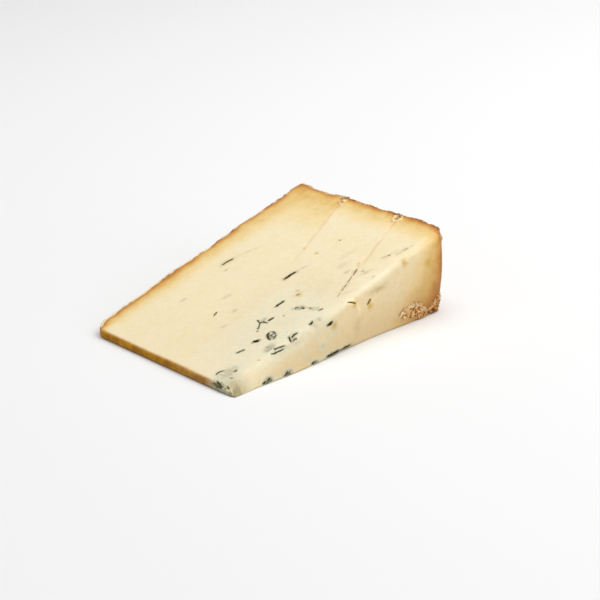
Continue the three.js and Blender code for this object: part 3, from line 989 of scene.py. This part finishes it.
def refine(mesh, regions):
    """Splits the faces near each place into nine."""
    bm = bmesh.new()
    bm.from_mesh(mesh)
    places = np.array([v.co for v in bm.verts])
    near = np.zeros(len(places), bool)
    for place, reach in regions:
        near |= (abs(places - np.array(place)) < np.array(reach)).all(axis=1)
    edges = [e for e in bm.edges if near[e.verts[0].index] and near[e.verts[1].index]]
    bmesh.ops.subdivide_edges(bm, edges=edges, cuts=2, use_grid_fill=True)
    bmesh.ops.triangulate(bm, faces=[f for f in bm.faces if len(f.verts) > 4])
    bm.to_mesh(mesh)
    bm.free()


def fine_regions():
    nicks = [(top_point(*along_row(row, NICK_INSET)), (4.1, 3.1, 2.5)) for row in NEEDLE_ROWS]
    crust = ((90.2, 1.0, 4.2), (13.6, 3.2, 4.2))
    fan = ((3.5, 3.5, 1.9), (5.5, 5.5, 1.8))
    return [*nicks, crust, fan]


def add_fine_relief(mesh):
    """Moves vertices along their normals: wrinkles on rind, crumbs in crust and nicks, streaks."""
    p = coordinates(mesh)
    depth = nearest_rind(*rind_depths(p))
    crag = crags(p)
    off_corner = smooth(np.hypot(LENGTH - p[:, 0], p[:, 1]), 0, CORNER_CALM_REACH)
    out = CRAG_HEIGHT * (1 - smooth(depth, 0.2, 0.8)) * crag * off_corner
    crumbled = CRUST_SWELL + CRUST_FOLD_HEIGHT * crust_folds(p) - CRUST_CRAG_DEPTH * crag
    out += crust_mask(p) * crumbled
    torn = NICK_SWELL + NICK_FOLD_HEIGHT * nick_folds(p) + NICK_GRIT_HEIGHT * bumps(p, 0.42, 54)
    out += nick_mask(p) * torn
    out += FAN_HEIGHT * fan_mask(p) * fan_streaks(p)
    out += RIDGE_ROUGHNESS * ridge_highlight_mask(p) * bumps(p, 2.1, 55)
    out += relief(FINE_PASTE_BUMPS, p)
    for across, along in track_parts(p):
        fade = 1 - smooth(along, GROOVE_FULL_UNTIL, TRACK_END)
        out -= GROOVE_DEPTH * fade * np.exp(-((across / GROOVE_WIDTH) ** 2))
    out *= smooth(p[:, 2], 0.05, 0.5)
    p = p + vertex_normals(mesh) * out[:, None]
    mesh.vertices.foreach_set("co", p.ravel())
    mesh.update()


def set_attribute(mesh, name, values):
    layer = mesh.attributes.new(name, "FLOAT", "POINT")
    layer.data.foreach_set("value", np.asarray(values, np.float32))


def brown_mask(x, y, flank):
    """Where mould looks brown, not grey: far from the cut side, towards the rind and on the flank."""
    far = np.maximum(smooth(y, 44, 54), 0.65 * smooth(y, 27, 31))
    at_rind = smooth(x, 71, 76) * smooth(16 - y, 0, 4)
    towards_rind = smooth(x, 48, 58) * np.maximum(0.65, flank)
    return np.maximum(np.maximum(far, at_rind), towards_rind)


def add_masks(mesh):
    """Gives the vertices the values that the materials read."""
    p = coordinates(mesh)
    x, y, z = p.T
    curved, flat = rind_depths(p)
    facing = vertex_normals(mesh)
    flank = smooth(-facing[:, 1], 0.1, 0.8) * (y < 6) * lerp(0.4, 1, smooth(x, 4, 26))
    crust = crust_mask(p)
    crumbled = crust_folds(p) + 2 * crust_lightness(x, z)
    masks = {
        "rind_depth": nearest_rind(curved, flat),
        "ripe": ripeness(p, curved, flat),
        "bloom": bloom_masks(p),
        "brown": brown_mask(x, y, flank),
        "track": track_mask(p),
        "nick": nick_mask(p),
        "strand": 0.5 + 0.5 * nick_folds(p),
        "crust": crust,
        "stain": stain_mask(p),
        "spot": spot_mask(p),
        # The rind edge's pale bloom, with a painted highlight where the edge faces up
        "rim": rim_highlight_mask(p, facing, curved, flat),
        "crag": 0.5 + 0.5 * lerp(crags(p), crumbled, crust),
        # Painted shade on the sunken corner at the nose
        "corner_shade": 1 - smooth(np.hypot(x, y), 3, 11),
        "streak": fan_mask(p) * (0.5 + 0.5 * fan_streaks(p)),
        # Painted highlight on the ridge, on paste that is paler there
        "ridge": ridge_highlight_mask(p),
        "flank": flank,
        # Painted shade low on the cut side, near the board
        "low": np.clip(1 - z / cut_height(x), 0, 1) * flank,
        # Painted shade on the nose face, in the amber of light that passes through its thin edge
        "nose": smooth(1.7 - x, 0, 1.3) * smooth(y, 6, 11),
    }
    for name, values in masks.items():
        set_attribute(mesh, name, values)


def dress_faces(mesh, dry_index):
    """Gives the outer faces of the rind, the crust and the nose the material that light enters less."""
    count = len(mesh.polygons)
    centres, index = np.empty(count * 3), np.empty(count, np.int32)
    mesh.polygons.foreach_get("center", centres)
    mesh.polygons.foreach_get("material_index", index)
    p = centres.reshape(-1, 3)
    dry = (nearest_rind(*rind_depths(p)) < 0.45) | (crust_mask(p) > 0.6)
    dry |= (p[:, 0] < 0.8) & (cut_height(p[:, 0]) - p[:, 2] > 0.5) & (p[:, 1] > 7)
    index[dry & (index == 0)] = dry_index
    mesh.polygons.foreach_set("material_index", index)


# --- Loose flakes and crumbs ----------------------------------------------------------------------


def grit_shape(seed):
    """A small craggy lump of about unit size: places and triangles."""
    bm = bmesh.new()
    bmesh.ops.create_uvsphere(bm, u_segments=7, v_segments=5, radius=1)
    bmesh.ops.triangulate(bm, faces=bm.faces)
    at = np.array([v.co for v in bm.verts])
    faces = np.array([[v.index for v in face.verts] for face in bm.faces])
    bm.free()

    # Triangulate leaves the triangles in another order each run, so they are sorted
    faces = np.array([np.roll(face, -face.argmin()) for face in faces])
    faces = faces[np.lexsort(faces.T)]
    away = at + np.array([11.3 * seed, 0, 0])
    craggy = abs(bumps(away, 0.8, seed)) + 0.5 * abs(bumps(away, 0.4, seed + 1))
    at = at * (1.35 - 1.05 * craggy)[:, None]
    return at, faces


def scatter(name, bits, lengths, thicknesses, draw):
    """Joins turned copies of a few lumps, laid on the surface, into one mesh.

    Each bit has its place, normal and size, and how much lighter it is than others; its shade is also
    darker on its underside, as painted shade.
    """
    shapes = [grit_shape(seed) for seed in LUMP_SEEDS]
    vertices, faces, shades, start = [], [], [], 0
    for place, normal, size, lighter in bits:
        at, triangles = shapes[draw.integers(len(shapes))]
        spin = draw.uniform(0, 2 * math.pi)
        stretch = np.array([draw.uniform(*lengths), draw.uniform(0.6, 1.0), draw.uniform(*thicknesses)])
        axes = Vector(normal).to_track_quat("Z", "Y").to_matrix() @ Matrix.Rotation(spin, 3, "Z")
        vertices.append(place + (at * stretch * size / 2) @ np.array(axes).T)
        faces.append(triangles + start)
        # Painted shade: each vertex is darker the more it faces into the surface below
        shades.append(0.6 * draw.uniform() + 0.4 * np.clip(0.5 + 0.5 * at[:, 2], 0, 1) + lighter)
        start += len(at)
    vertices = np.concatenate(vertices)
    vertices[:, 2] = np.maximum(vertices[:, 2], LOWEST_BIT)
    piece = new_object(name, vertices, np.concatenate(faces).tolist())
    set_attribute(piece.data, "shade", np.concatenate(shades))
    return piece


UP = np.array(top_turn().col[2])
SIDEWAYS, ONWARD, INWARD = np.array([0, -1, 0]), np.array([1, 0, 0]), np.array([0, 1, 0])


def crust_flakes(draw):
    """Crumbled crust: a rope of larger strands along its upper edge, and finer bits below."""
    bits = []
    for x in np.arange(CRUST_UPPER[0][0] + CRUST_PITCH_X, LENGTH + 0.2, CRUST_PITCH_X):
        upper, lower = float(crust_top(x)), float(np.interp(x, *zip(*CRUST_LOWER)))
        for z in np.arange(lower + 0.4, upper + 0.3, CRUST_PITCH_Z):
            rope = abs(z - upper) < 1.1
            beside = x + draw.uniform(-CRUST_JITTER, CRUST_JITTER)
            height = max(0.35, z + draw.uniform(-CRUST_JITTER, CRUST_JITTER))
            if draw.uniform() < (0.25 if rope else 0.72):
                continue
            raised = SIDEWAYS * draw.uniform(-0.1, 0.35 if rope else 0.15)
            place = np.array(side_point(min(beside, LENGTH - 0.5), height)) + raised
            normal = SIDEWAYS + 0.5 * draw.normal(size=3)
            size = min(draw.lognormal(-0.75 if rope else -1.0, 0.35), 0.9)
            bits.append((place, normal, size, 1.2 * crust_lightness(place[0], place[2])))
    return bits


def edge_flakes(draw):
    """Chips of rind along the edges of the upper cut, mostly where needles went in."""
    bits = []
    for _ in range(EDGE_FLAKES):
        near_row = draw.uniform() < 0.5
        y = draw.choice(NEEDLE_ROWS) + draw.normal(0, 2.0) if near_row else draw.uniform(2, SLICE_DEPTH - 1)
        x = LENGTH - 0.3 - abs(draw.normal(0, 0.4))
        normal = UP + ONWARD * 0.6 + 0.3 * draw.normal(size=3)
        size = min(draw.lognormal(-0.75, 0.4), 1.2)
        bits.append((np.array(top_point(x, y)) - UP * 0.04, normal, size, 0))
    for _ in range(EDGE_FLAKES):
        x = draw.uniform(1, LENGTH - 1)
        y = SLICE_DEPTH - 0.15 - abs(draw.normal(0, 0.35))
        normal = UP + INWARD * 0.6 + 0.3 * draw.normal(size=3)
        size = min(draw.lognormal(-1.05, 0.35), 0.8)
        bits.append((np.array(top_point(x, y)) - UP * 0.05, normal, size, 0))
    return bits


def nick_crumbs(draw):
    """Pale crumbs round each nick."""
    bits = []
    for row in NEEDLE_ROWS:
        for _ in range(NICK_CRUMBS):
            turn, far = draw.uniform(0, 2 * math.pi), draw.uniform(0.15, 1.2)
            along = NICK_INSET + 0.5 * NICK_LENGTH * far * math.cos(turn)
            across = 0.55 * NICK_WIDTH * far * math.sin(turn)
            x, y = along_row(row, max(along, 0.5))
            on_cut = top_point(x - across * math.sin(NEEDLE_LEAN), y + across * math.cos(NEEDLE_LEAN))
            place = np.array(on_cut) + UP * draw.uniform(-0.2, 0.02)
            normal = UP + 0.8 * draw.normal(size=3)
            bits.append((place, normal, min(draw.lognormal(-1.3, 0.4), 0.6), 0))
    return bits


# --- Materials ------------------------------------------------------------------------------------


def srgb(red, green, blue):
    """A colour given as it looks on a screen, from 0 to 255."""
    values = [value / 255 for value in (red, green, blue)]
    return (*[v / 12.92 if v <= 0.04045 else ((v + 0.055) / 1.055) ** 2.4 for v in values], 1)


class Nodes:
    """Adds linked nodes to a tree, each call returning the output that the next one reads."""

    def __init__(self, tree):
        self.tree = tree

    def add(self, kind, inputs=(), **settings):
        made = self.tree.nodes.new(kind)
        for name, value in settings.items():
            setattr(made, name, value)
        for socket, value in dict(inputs).items():
            self.set(made.inputs[socket], value)
        return made

    def set(self, socket, value):
        if isinstance(value, bpy.types.NodeSocket):
            self.tree.links.new(value, socket)
        else:
            socket.default_value = value

    def math(self, operation, a, b, clamp=False):
        return self.add("ShaderNodeMath", {0: a, 1: b}, operation=operation, use_clamp=clamp).outputs[0]

    def times(self, a, b):
        return self.math("MULTIPLY", a, b)

    def blend(self, a, share, b):
        """The share of a, with the rest from b."""
        return self.math("ADD", self.times(a, share), self.times(b, 1 - share))

    def spread(self, value, low, high, to_low=0.0, to_high=1.0):
        inputs = {"Value": value, "From Min": low, "From Max": high, "To Min": to_low, "To Max": to_high}
        return self.add("ShaderNodeMapRange", inputs, interpolation_type="SMOOTHSTEP").outputs["Result"]

    def noise(self, vector, size_mm, detail=2.0, roughness=0.5, distortion=0.0):
        inputs = {"Vector": vector, "Scale": 1 / (size_mm * MM), "Detail": detail}
        inputs |= {"Roughness": roughness, "Distortion": distortion}
        return self.add("ShaderNodeTexNoise", inputs).outputs["Fac"]

    def mix(self, factor, a, b, blend="MIX"):
        inputs = {0: factor, 6: a, 7: b}
        return self.add("ShaderNodeMix", inputs, data_type="RGBA", blend_type=blend).outputs[2]

    def ramp(self, value, stops):
        made = self.add("ShaderNodeValToRGB", {"Fac": value})
        elements = made.color_ramp.elements
        while len(elements) < len(stops):
            elements.new(1.0)
        for element, (position, colour) in zip(elements, stops):
            element.position = position
            element.color = srgb(*colour)
        return made.outputs["Color"]

    def attribute(self, name):
        return self.add("ShaderNodeAttribute", attribute_name=name).outputs["Fac"]

    def group(self, tree, inputs):
        return self.add("ShaderNodeGroup", inputs, node_tree=tree).outputs


VECTOR, FLOAT, COLOUR = "NodeSocketVector", "NodeSocketFloat", "NodeSocketColor"


def shader_group(name, inputs, outputs):
    """An empty shader group with named sockets: its tree, its nodes and what it is given."""
    tree = bpy.data.node_groups.new(name, "ShaderNodeTree")
    for socket, kind in inputs.items():
        tree.interface.new_socket(socket, in_out="INPUT", socket_type=kind)
    for socket, kind in outputs.items():
        tree.interface.new_socket(socket, in_out="OUTPUT", socket_type=kind)
    nodes = Nodes(tree)
    return tree, nodes, nodes.add("NodeGroupInput").outputs


def rind_skin_group():
    """Dry rind: brown in its folds, with pale bloom on what stands out, and ochre patches."""
    tree, nodes, given = shader_group(
        "rind_skin", {"Vector": VECTOR, "Crag": FLOAT}, {"Colour": COLOUR, "Height": FLOAT}
    )
    vector, crag = given["Vector"], given["Crag"]
    grit = nodes.noise(vector, 0.6, 4, 0.65)
    tone = nodes.blend(crag, 0.26, grit)
    skin = nodes.ramp(tone, RIND_COLOURS)
    patches = nodes.spread(nodes.noise(vector, 12, 5, 0.65), 0.42, 0.7, 0, 0.5)
    skin = nodes.mix(patches, skin, srgb(*RIND_PATCH_COLOUR))
    powder = nodes.spread(nodes.noise(vector, 6, 6, 0.7), 0.5, 0.72, 0, 0.5)
    powder = nodes.times(powder, nodes.spread(tone, 0.3, 0.6))
    skin = nodes.mix(powder, skin, srgb(*RIND_POWDER_COLOUR))
    nodes.add("NodeGroupOutput", {"Colour": skin, "Height": grit})
    return tree


def mould_group():
    """Blue mould: a soft haze, and dark ragged growth where there is much of it."""
    tree, nodes, given = shader_group(
        "mould_growth", {"Vector": VECTOR, "Amount": FLOAT}, {"Haze": FLOAT, "Growth": FLOAT}
    )
    vector, amount = given["Vector"], given["Amount"]
    soft = nodes.spread(nodes.noise(vector, 1.7, 4, 0.6), 0.3, 0.7, 0.45, 1.35)
    haze = nodes.math("MULTIPLY", amount, soft, clamp=True)
    ragged = nodes.spread(nodes.noise(vector, 0.75, 3, 0.6, 0.4), 0.2, 0.8, -0.5, 0.5)
    growth = nodes.spread(nodes.math("ADD", amount, ragged), 0.84, 1.12)
    nodes.add("NodeGroupOutput", {"Haze": haze, "Growth": growth})
    return tree


def paste_group():
    """Cut paste: cream in the middle, turning amber towards the rind, warmer and darker on the side, with
    painted shade at the foot of the side and on the sunken corner.
    """
    tree, nodes, given = shader_group("cut_paste", {"Vector": VECTOR}, {"Colour": COLOUR})
    vector, get = given["Vector"], nodes.attribute
    wander = nodes.spread(nodes.noise(vector, 5, 5, 0.6), 0.25, 0.75, -0.09, 0.09)
    ripe = nodes.math("ADD", nodes.times(get("ripe"), 0.85), wander)
    colour = nodes.ramp(ripe, PASTE_COLOURS)
    blush = nodes.spread(nodes.noise(vector, 3.4, 3, 0.6), 0.42, 0.68, 0, 0.4)
    for mask, tint in (
        (nodes.spread(nodes.noise(vector, 15, 2), 0.35, 0.65), SHADE_TINT),
        (nodes.spread(nodes.noise(vector, 2.2, 5, 0.65), 0.3, 0.7), MOTTLE_TINT),
        (nodes.spread(nodes.noise(vector, 0.8, 3, 0.7), 0.35, 0.65), GRAIN_TINT),
        (nodes.spread(nodes.noise(vector, 1.1, 2, 0.6), 0.64, 0.74, 0, 0.6), FLECK_TINT),
        (get("flank"), FLANK_TINT),
        (nodes.times(blush, get("flank")), BLUSH_TINT),
        # Painted shade low on the cut side, near the board
        (nodes.spread(get("low"), 0.05, 0.9), FOOT_SHADE_TINT),
        # Painted shade on the sunken corner at the nose
        (get("corner_shade"), CORNER_SHADE_TINT),
    ):
        colour = nodes.mix(mask, colour, (*tint, 1), "MULTIPLY")
    nodes.add("NodeGroupOutput", {"Colour": colour})
    return tree


def mark_paste(nodes, vector, colour):
    """Needle tracks, nicks, the ridge's painted highlight, the streaked corner, stains, spots and the
    nose's painted shade.
    """
    get = nodes.attribute
    # The nick's torn strands: paler where they stand out and browner between, partly painted highlight and
    # shade
    torn = nodes.ramp(nodes.blend(get("strand"), 0.65, nodes.noise(vector, 0.5, 4, 0.65)), CRUMB_COLOURS)
    uneven = nodes.spread(nodes.noise(vector, 3.0, 3, 0.6), 0.25, 0.75)
    nose_shade = nodes.mix(uneven, srgb(*NOSE_SHADE_COLOUR), srgb(*NOSE_PALER_SHADE_COLOUR))
    for mask, mark in (
        (nodes.times(get("track"), 0.4), srgb(*TRACK_COLOUR)),
        (nodes.times(get("nick"), 0.9), torn),
        # Painted highlight on the ridge
        (nodes.times(get("ridge"), 0.75), srgb(*RIDGE_HIGHLIGHT_COLOUR)),
        (nodes.spread(get("streak"), 0.42, 0.75, 0, 0.8), srgb(*STREAK_COLOUR)),
        (nodes.times(get("stain"), 0.75), srgb(*STAIN_COLOUR)),
        (nodes.times(get("spot"), 0.75), srgb(*SPOT_COLOUR)),
        # Painted shade on the nose face
        (get("nose"), nose_shade),
    ):
        colour = nodes.mix(mask, colour, mark)
    return colour


def lay_mould(nodes, vector, colour, mould_growth):
    """Mould on the paste: its haze, then its dark growth."""
    get = nodes.attribute
    mould = nodes.group(mould_growth, {"Vector": vector, "Amount": get("bloom")})
    haze = nodes.mix(nodes.spread(get("bloom"), 0.32, 0.6), srgb(*LIGHT_HAZE_COLOUR), srgb(*HAZE_COLOUR))
    haze = nodes.mix(get("brown"), haze, srgb(*BROWN_HAZE_COLOUR))
    colour = nodes.mix(mould["Haze"], colour, haze)
    uneven = nodes.spread(nodes.noise(vector, 1.6, 2), 0.4, 0.6)
    dark = nodes.mix(uneven, srgb(*GROWTH_COLOUR), srgb(*LIGHT_GROWTH_COLOUR))
    dark = nodes.mix(nodes.times(get("brown"), 0.8), dark, srgb(*BROWN_GROWTH_COLOUR))
    return nodes.mix(nodes.times(mould["Growth"], 0.9), colour, dark)


def lay_rind(nodes, vector, colour, rind_skin):
    """The dark line under the rind's edge, the rind, the crust, dark in its creases partly as painted
    shade, the pale rim with its painted highlight, and where rind is.
    """
    get = nodes.attribute
    skin = nodes.group(rind_skin, {"Vector": vector, "Crag": get("crag")})
    wander = nodes.spread(nodes.noise(vector, 1.4, 5, 0.65), 0.25, 0.75, -0.28, 0.28)
    depth = nodes.math("ADD", get("rind_depth"), wander)
    depth = nodes.math("SUBTRACT", depth, nodes.times(get("rim"), 0.4))
    broken = nodes.spread(nodes.noise(vector, 5, 4, 0.6), 0.35, 0.6, 0.3, 1)
    line = nodes.times(nodes.spread(depth, 0.9, 1.5, 1, 0), broken)
    colour = nodes.mix(line, colour, srgb(*UNDER_RIND_COLOUR))
    bare = nodes.math("MAXIMUM", nodes.spread(depth, 0.08, 0.36, 1, 0), get("crust"))
    # The crust's folds: pale on raised strands and dark in creases, partly painted highlight and shade
    fold_tone_and_shade = nodes.math("ADD", nodes.times(get("crag"), 0.6), nodes.times(skin["Height"], 0.3))
    skin = nodes.mix(get("crust"), skin["Colour"], nodes.ramp(fold_tone_and_shade, CRUST_COLOURS))
    colour = nodes.mix(bare, colour, skin)
    # The pale rim: the rind's bloom with a painted highlight where its edge faces up
    rim = nodes.times(get("rim"), nodes.spread(depth, 0.85, 1.1, 0.95, 0))
    return nodes.mix(rim, colour, srgb(*RIM_HIGHLIGHT_COLOUR)), bare


def surface_group(cut_paste, rind_skin, mould_growth):
    """All of the wedge's own surface: paste, tracks, mould, rind and crust."""
    outputs = {"Colour": COLOUR, "Roughness": FLOAT, "Height": FLOAT}
    tree, nodes, given = shader_group("cheese_surface", {"Vector": VECTOR}, outputs)
    vector = given["Vector"]
    colour = nodes.group(cut_paste, {"Vector": vector})["Colour"]
    colour = mark_paste(nodes, vector, colour)
    colour = lay_mould(nodes, vector, colour, mould_growth)
    colour, bare = lay_rind(nodes, vector, colour, rind_skin)
    gloss = nodes.spread(nodes.noise(vector, 1.1, 4), 0.3, 0.7, 0.52, 0.68)
    roughness = nodes.math("MAXIMUM", gloss, nodes.times(bare, 0.92))
    grain = nodes.spread(bare, 0, 1, 0.14, 1.0)
    height = nodes.times(nodes.noise(vector, 0.45, 5, 0.6), grain)
    nodes.add("NodeGroupOutput", {"Colour": colour, "Roughness": roughness, "Height": height})
    return tree


def new_material(name, roughness, subsurface=0.0, light_spread=LIGHT_SPREAD):
    """A material with a Principled shader, its nodes and its Object coordinates."""
    material = bpy.data.materials.new(name)
    material.use_nodes = True
    shader = material.node_tree.nodes["Principled BSDF"]
    shader.inputs["Roughness"].default_value = roughness
    shader.inputs["Subsurface Weight"].default_value = subsurface
    shader.inputs["Subsurface Radius"].default_value = LIGHT_SPREAD_BY_COLOUR
    shader.inputs["Subsurface Scale"].default_value = light_spread * MM
    nodes = Nodes(material.node_tree)
    place = nodes.add("ShaderNodeTexCoord").outputs["Object"]
    return material, shader, nodes, place


def finish_surface(nodes, shader, colour, height, relief_mm, strength=0.7):
    """Feeds the shader's colour, and its normal from a height of so many millimetres."""
    nodes.set(shader.inputs["Base Color"], colour)
    bump = nodes.add("ShaderNodeBump", {"Strength": strength, "Distance": relief_mm * MM, "Height": height})
    nodes.set(shader.inputs["Normal"], bump.outputs["Normal"])


def cheese_material(name, surface, subsurface, specular):
    material, shader, nodes, place = new_material(name, 0.5, subsurface)
    shader.inputs["Specular IOR Level"].default_value = specular
    made = nodes.group(surface, {"Vector": place})
    nodes.set(shader.inputs["Roughness"], made["Roughness"])
    finish_surface(nodes, shader, made["Colour"], made["Height"], 0.22, 0.6)
    return material


def lining_material(name, dark, light, patches):
    """The lining of a trench: two shades, with patches of a third."""
    material, shader, nodes, place = new_material(name, 0.85)
    shader.inputs["Specular IOR Level"].default_value = 0.1
    grain = nodes.spread(nodes.noise(place, 0.55, 3, 0.6), 0.35, 0.65)
    colour = nodes.mix(grain, srgb(*dark), srgb(*light))
    spread = nodes.spread(nodes.noise(place, 2.4, 2), 0.5, 0.6, 0, 0.6)
    finish_surface(nodes, shader, nodes.mix(spread, colour, srgb(*patches)), grain, 0.12)
    return material


def crumb_material(name, stops, roughness, subsurface=0.0):
    """Loose bits, each with its own tone, and with painted shade on their undersides."""
    material, shader, nodes, place = new_material(name, roughness, subsurface, CRUMB_LIGHT_SPREAD)
    grain = nodes.noise(place, 0.5, 4, 0.65)
    tone = nodes.blend(nodes.attribute("shade"), 0.4, grain)
    finish_surface(nodes, shader, nodes.ramp(tone, stops), grain, 0.15)
    return material


# --- Stage ----------------------------------------------------------------------------------------


def floor():
    corners = [(x * FLOOR_HALF, y * FLOOR_HALF, 0) for x, y in ((-1, -1), (1, -1), (1, 1), (-1, 1))]
    piece = new_object("floor", corners, [(0, 1, 2, 3)])
    material = bpy.data.materials.new("pale_floor")
    material.use_nodes = True
    shader = material.node_tree.nodes["Principled BSDF"]
    shader.inputs["Base Color"].default_value = (*FLOOR_COLOUR, 1)
    shader.inputs["Roughness"].default_value = 0.9
    piece.data.materials.append(material)


def softbox(name, azimuth, elevation, distance, size, watts):
    """A round soft light that faces the wedge."""
    light = bpy.data.lights.new(name, "AREA")
    light.shape = "DISK"
    light.size = size
    light.energy = watts
    piece = bpy.data.objects.new(name, light)
    a, e = math.radians(azimuth), math.radians(elevation)
    away = Vector((math.cos(a) * math.cos(e), math.sin(a) * math.cos(e), math.sin(e)))
    piece.location = away * distance
    piece.rotation_euler = away.to_track_quat("Z", "Y").to_euler()
    bpy.context.scene.collection.objects.link(piece)


def camera(shift):
    data = bpy.data.cameras.new("camera")
    data.lens = CAMERA_LENS
    data.sensor_width = CAMERA_SENSOR
    data.clip_start = 0.01
    piece = bpy.data.objects.new("camera", data)
    axes = Matrix((CAMERA_RIGHT, CAMERA_UP, CAMERA_BACK)).transposed()
    piece.matrix_world = Matrix.Translation((CAMERA_PLACE + shift) * MM) @ axes.to_4x4()
    bpy.context.scene.collection.objects.link(piece)
    bpy.context.scene.camera = piece


def world():
    made = bpy.data.worlds.new("studio")
    bpy.context.scene.world = made
    made.use_nodes = True
    background = made.node_tree.nodes["Background"]
    background.inputs["Color"].default_value = (1, 1, 1, 1)
    background.inputs["Strength"].default_value = WORLD_STRENGTH


# --- The wedge and what lies on it ----------------------------------------------------------------


def cheese_materials():
    """The wedge's materials: paste, dry rind and the linings of its trenches."""
    surface = surface_group(paste_group(), rind_skin_group(), mould_group())
    made = {
        "paste": cheese_material("ripe_paste", surface, 0.35, 0.4),
        "dry": cheese_material("dry_rind", surface, 0.0, 0.15),
    }
    for lining, colours in LINING_COLOURS.items():
        made[lining] = lining_material(f"{lining}_lining", *colours)
    return made


def make_cheese(materials):
    """The dressed wedge in the slice's axes and millimetres."""
    piece = slice_object()
    refine(piece.data, fine_regions())
    for material in materials.values():
        piece.data.materials.append(material)
    cutters = []
    for number, (line, width, depth, normal, lining) in enumerate(gouges()):
        cutter = new_object("cutter", *gouge(line, width, depth, normal, GOUGE_SEED + 2 * number))
        bpy.context.scene.collection.objects.unlink(cutter)
        cutter.data.materials.append(materials[lining])
        cutters.append(cutter)
    carve(piece, cutters)
    return piece


def settle(piece, shift):
    """Moves a piece from the slice's axes and millimetres to its place in metres."""
    piece.data.transform(Matrix.Scale(MM, 4) @ Matrix.Translation(shift))
    piece.data.shade_smooth()


materials = cheese_materials()
cheese = make_cheese(materials)
places = coordinates(cheese.data)
middle = (places.min(0) + places.max(0)) / 2
low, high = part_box(NODE)
centre = (low + high) / 2 / MM
shift = Vector((centre.x - middle[0], centre.y - middle[1], 0))

add_fine_relief(cheese.data)
add_masks(cheese.data)
dress_faces(cheese.data, list(cheese.data.materials).index(materials["dry"]))
settle(cheese, shift)
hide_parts(NODE)
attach(cheese, "root")

crust_grit = crumb_material("crust_grit", CRUST_COLOURS, 0.85)
rind_chips = crumb_material("rind_chips", CHIP_COLOURS, 0.8)
pale_crumb = crumb_material("pale_crumb", CRUMB_COLOURS, 0.6, 0.2)
draw = np.random.default_rng(SCATTER_SEED)
for name, bits, form, slot, material in (
    ("crust_crumbs", crust_flakes(draw), CRUST_CRUMB_FORM, "rind", crust_grit),
    ("rind_flakes", edge_flakes(draw), RIND_FLAKE_FORM, "rind", rind_chips),
    ("paste_crumbs", nick_crumbs(draw), PASTE_CRUMB_FORM, "paste", pale_crumb),
):
    piece = scatter(name, bits, *form, draw)
    piece.data.materials.append(material)
    settle(piece, shift)
    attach(piece, "root")

floor()
camera(shift)
world()
for light in LIGHTS:
    softbox(*light)
bpy.context.scene.view_settings.view_transform = "Standard"
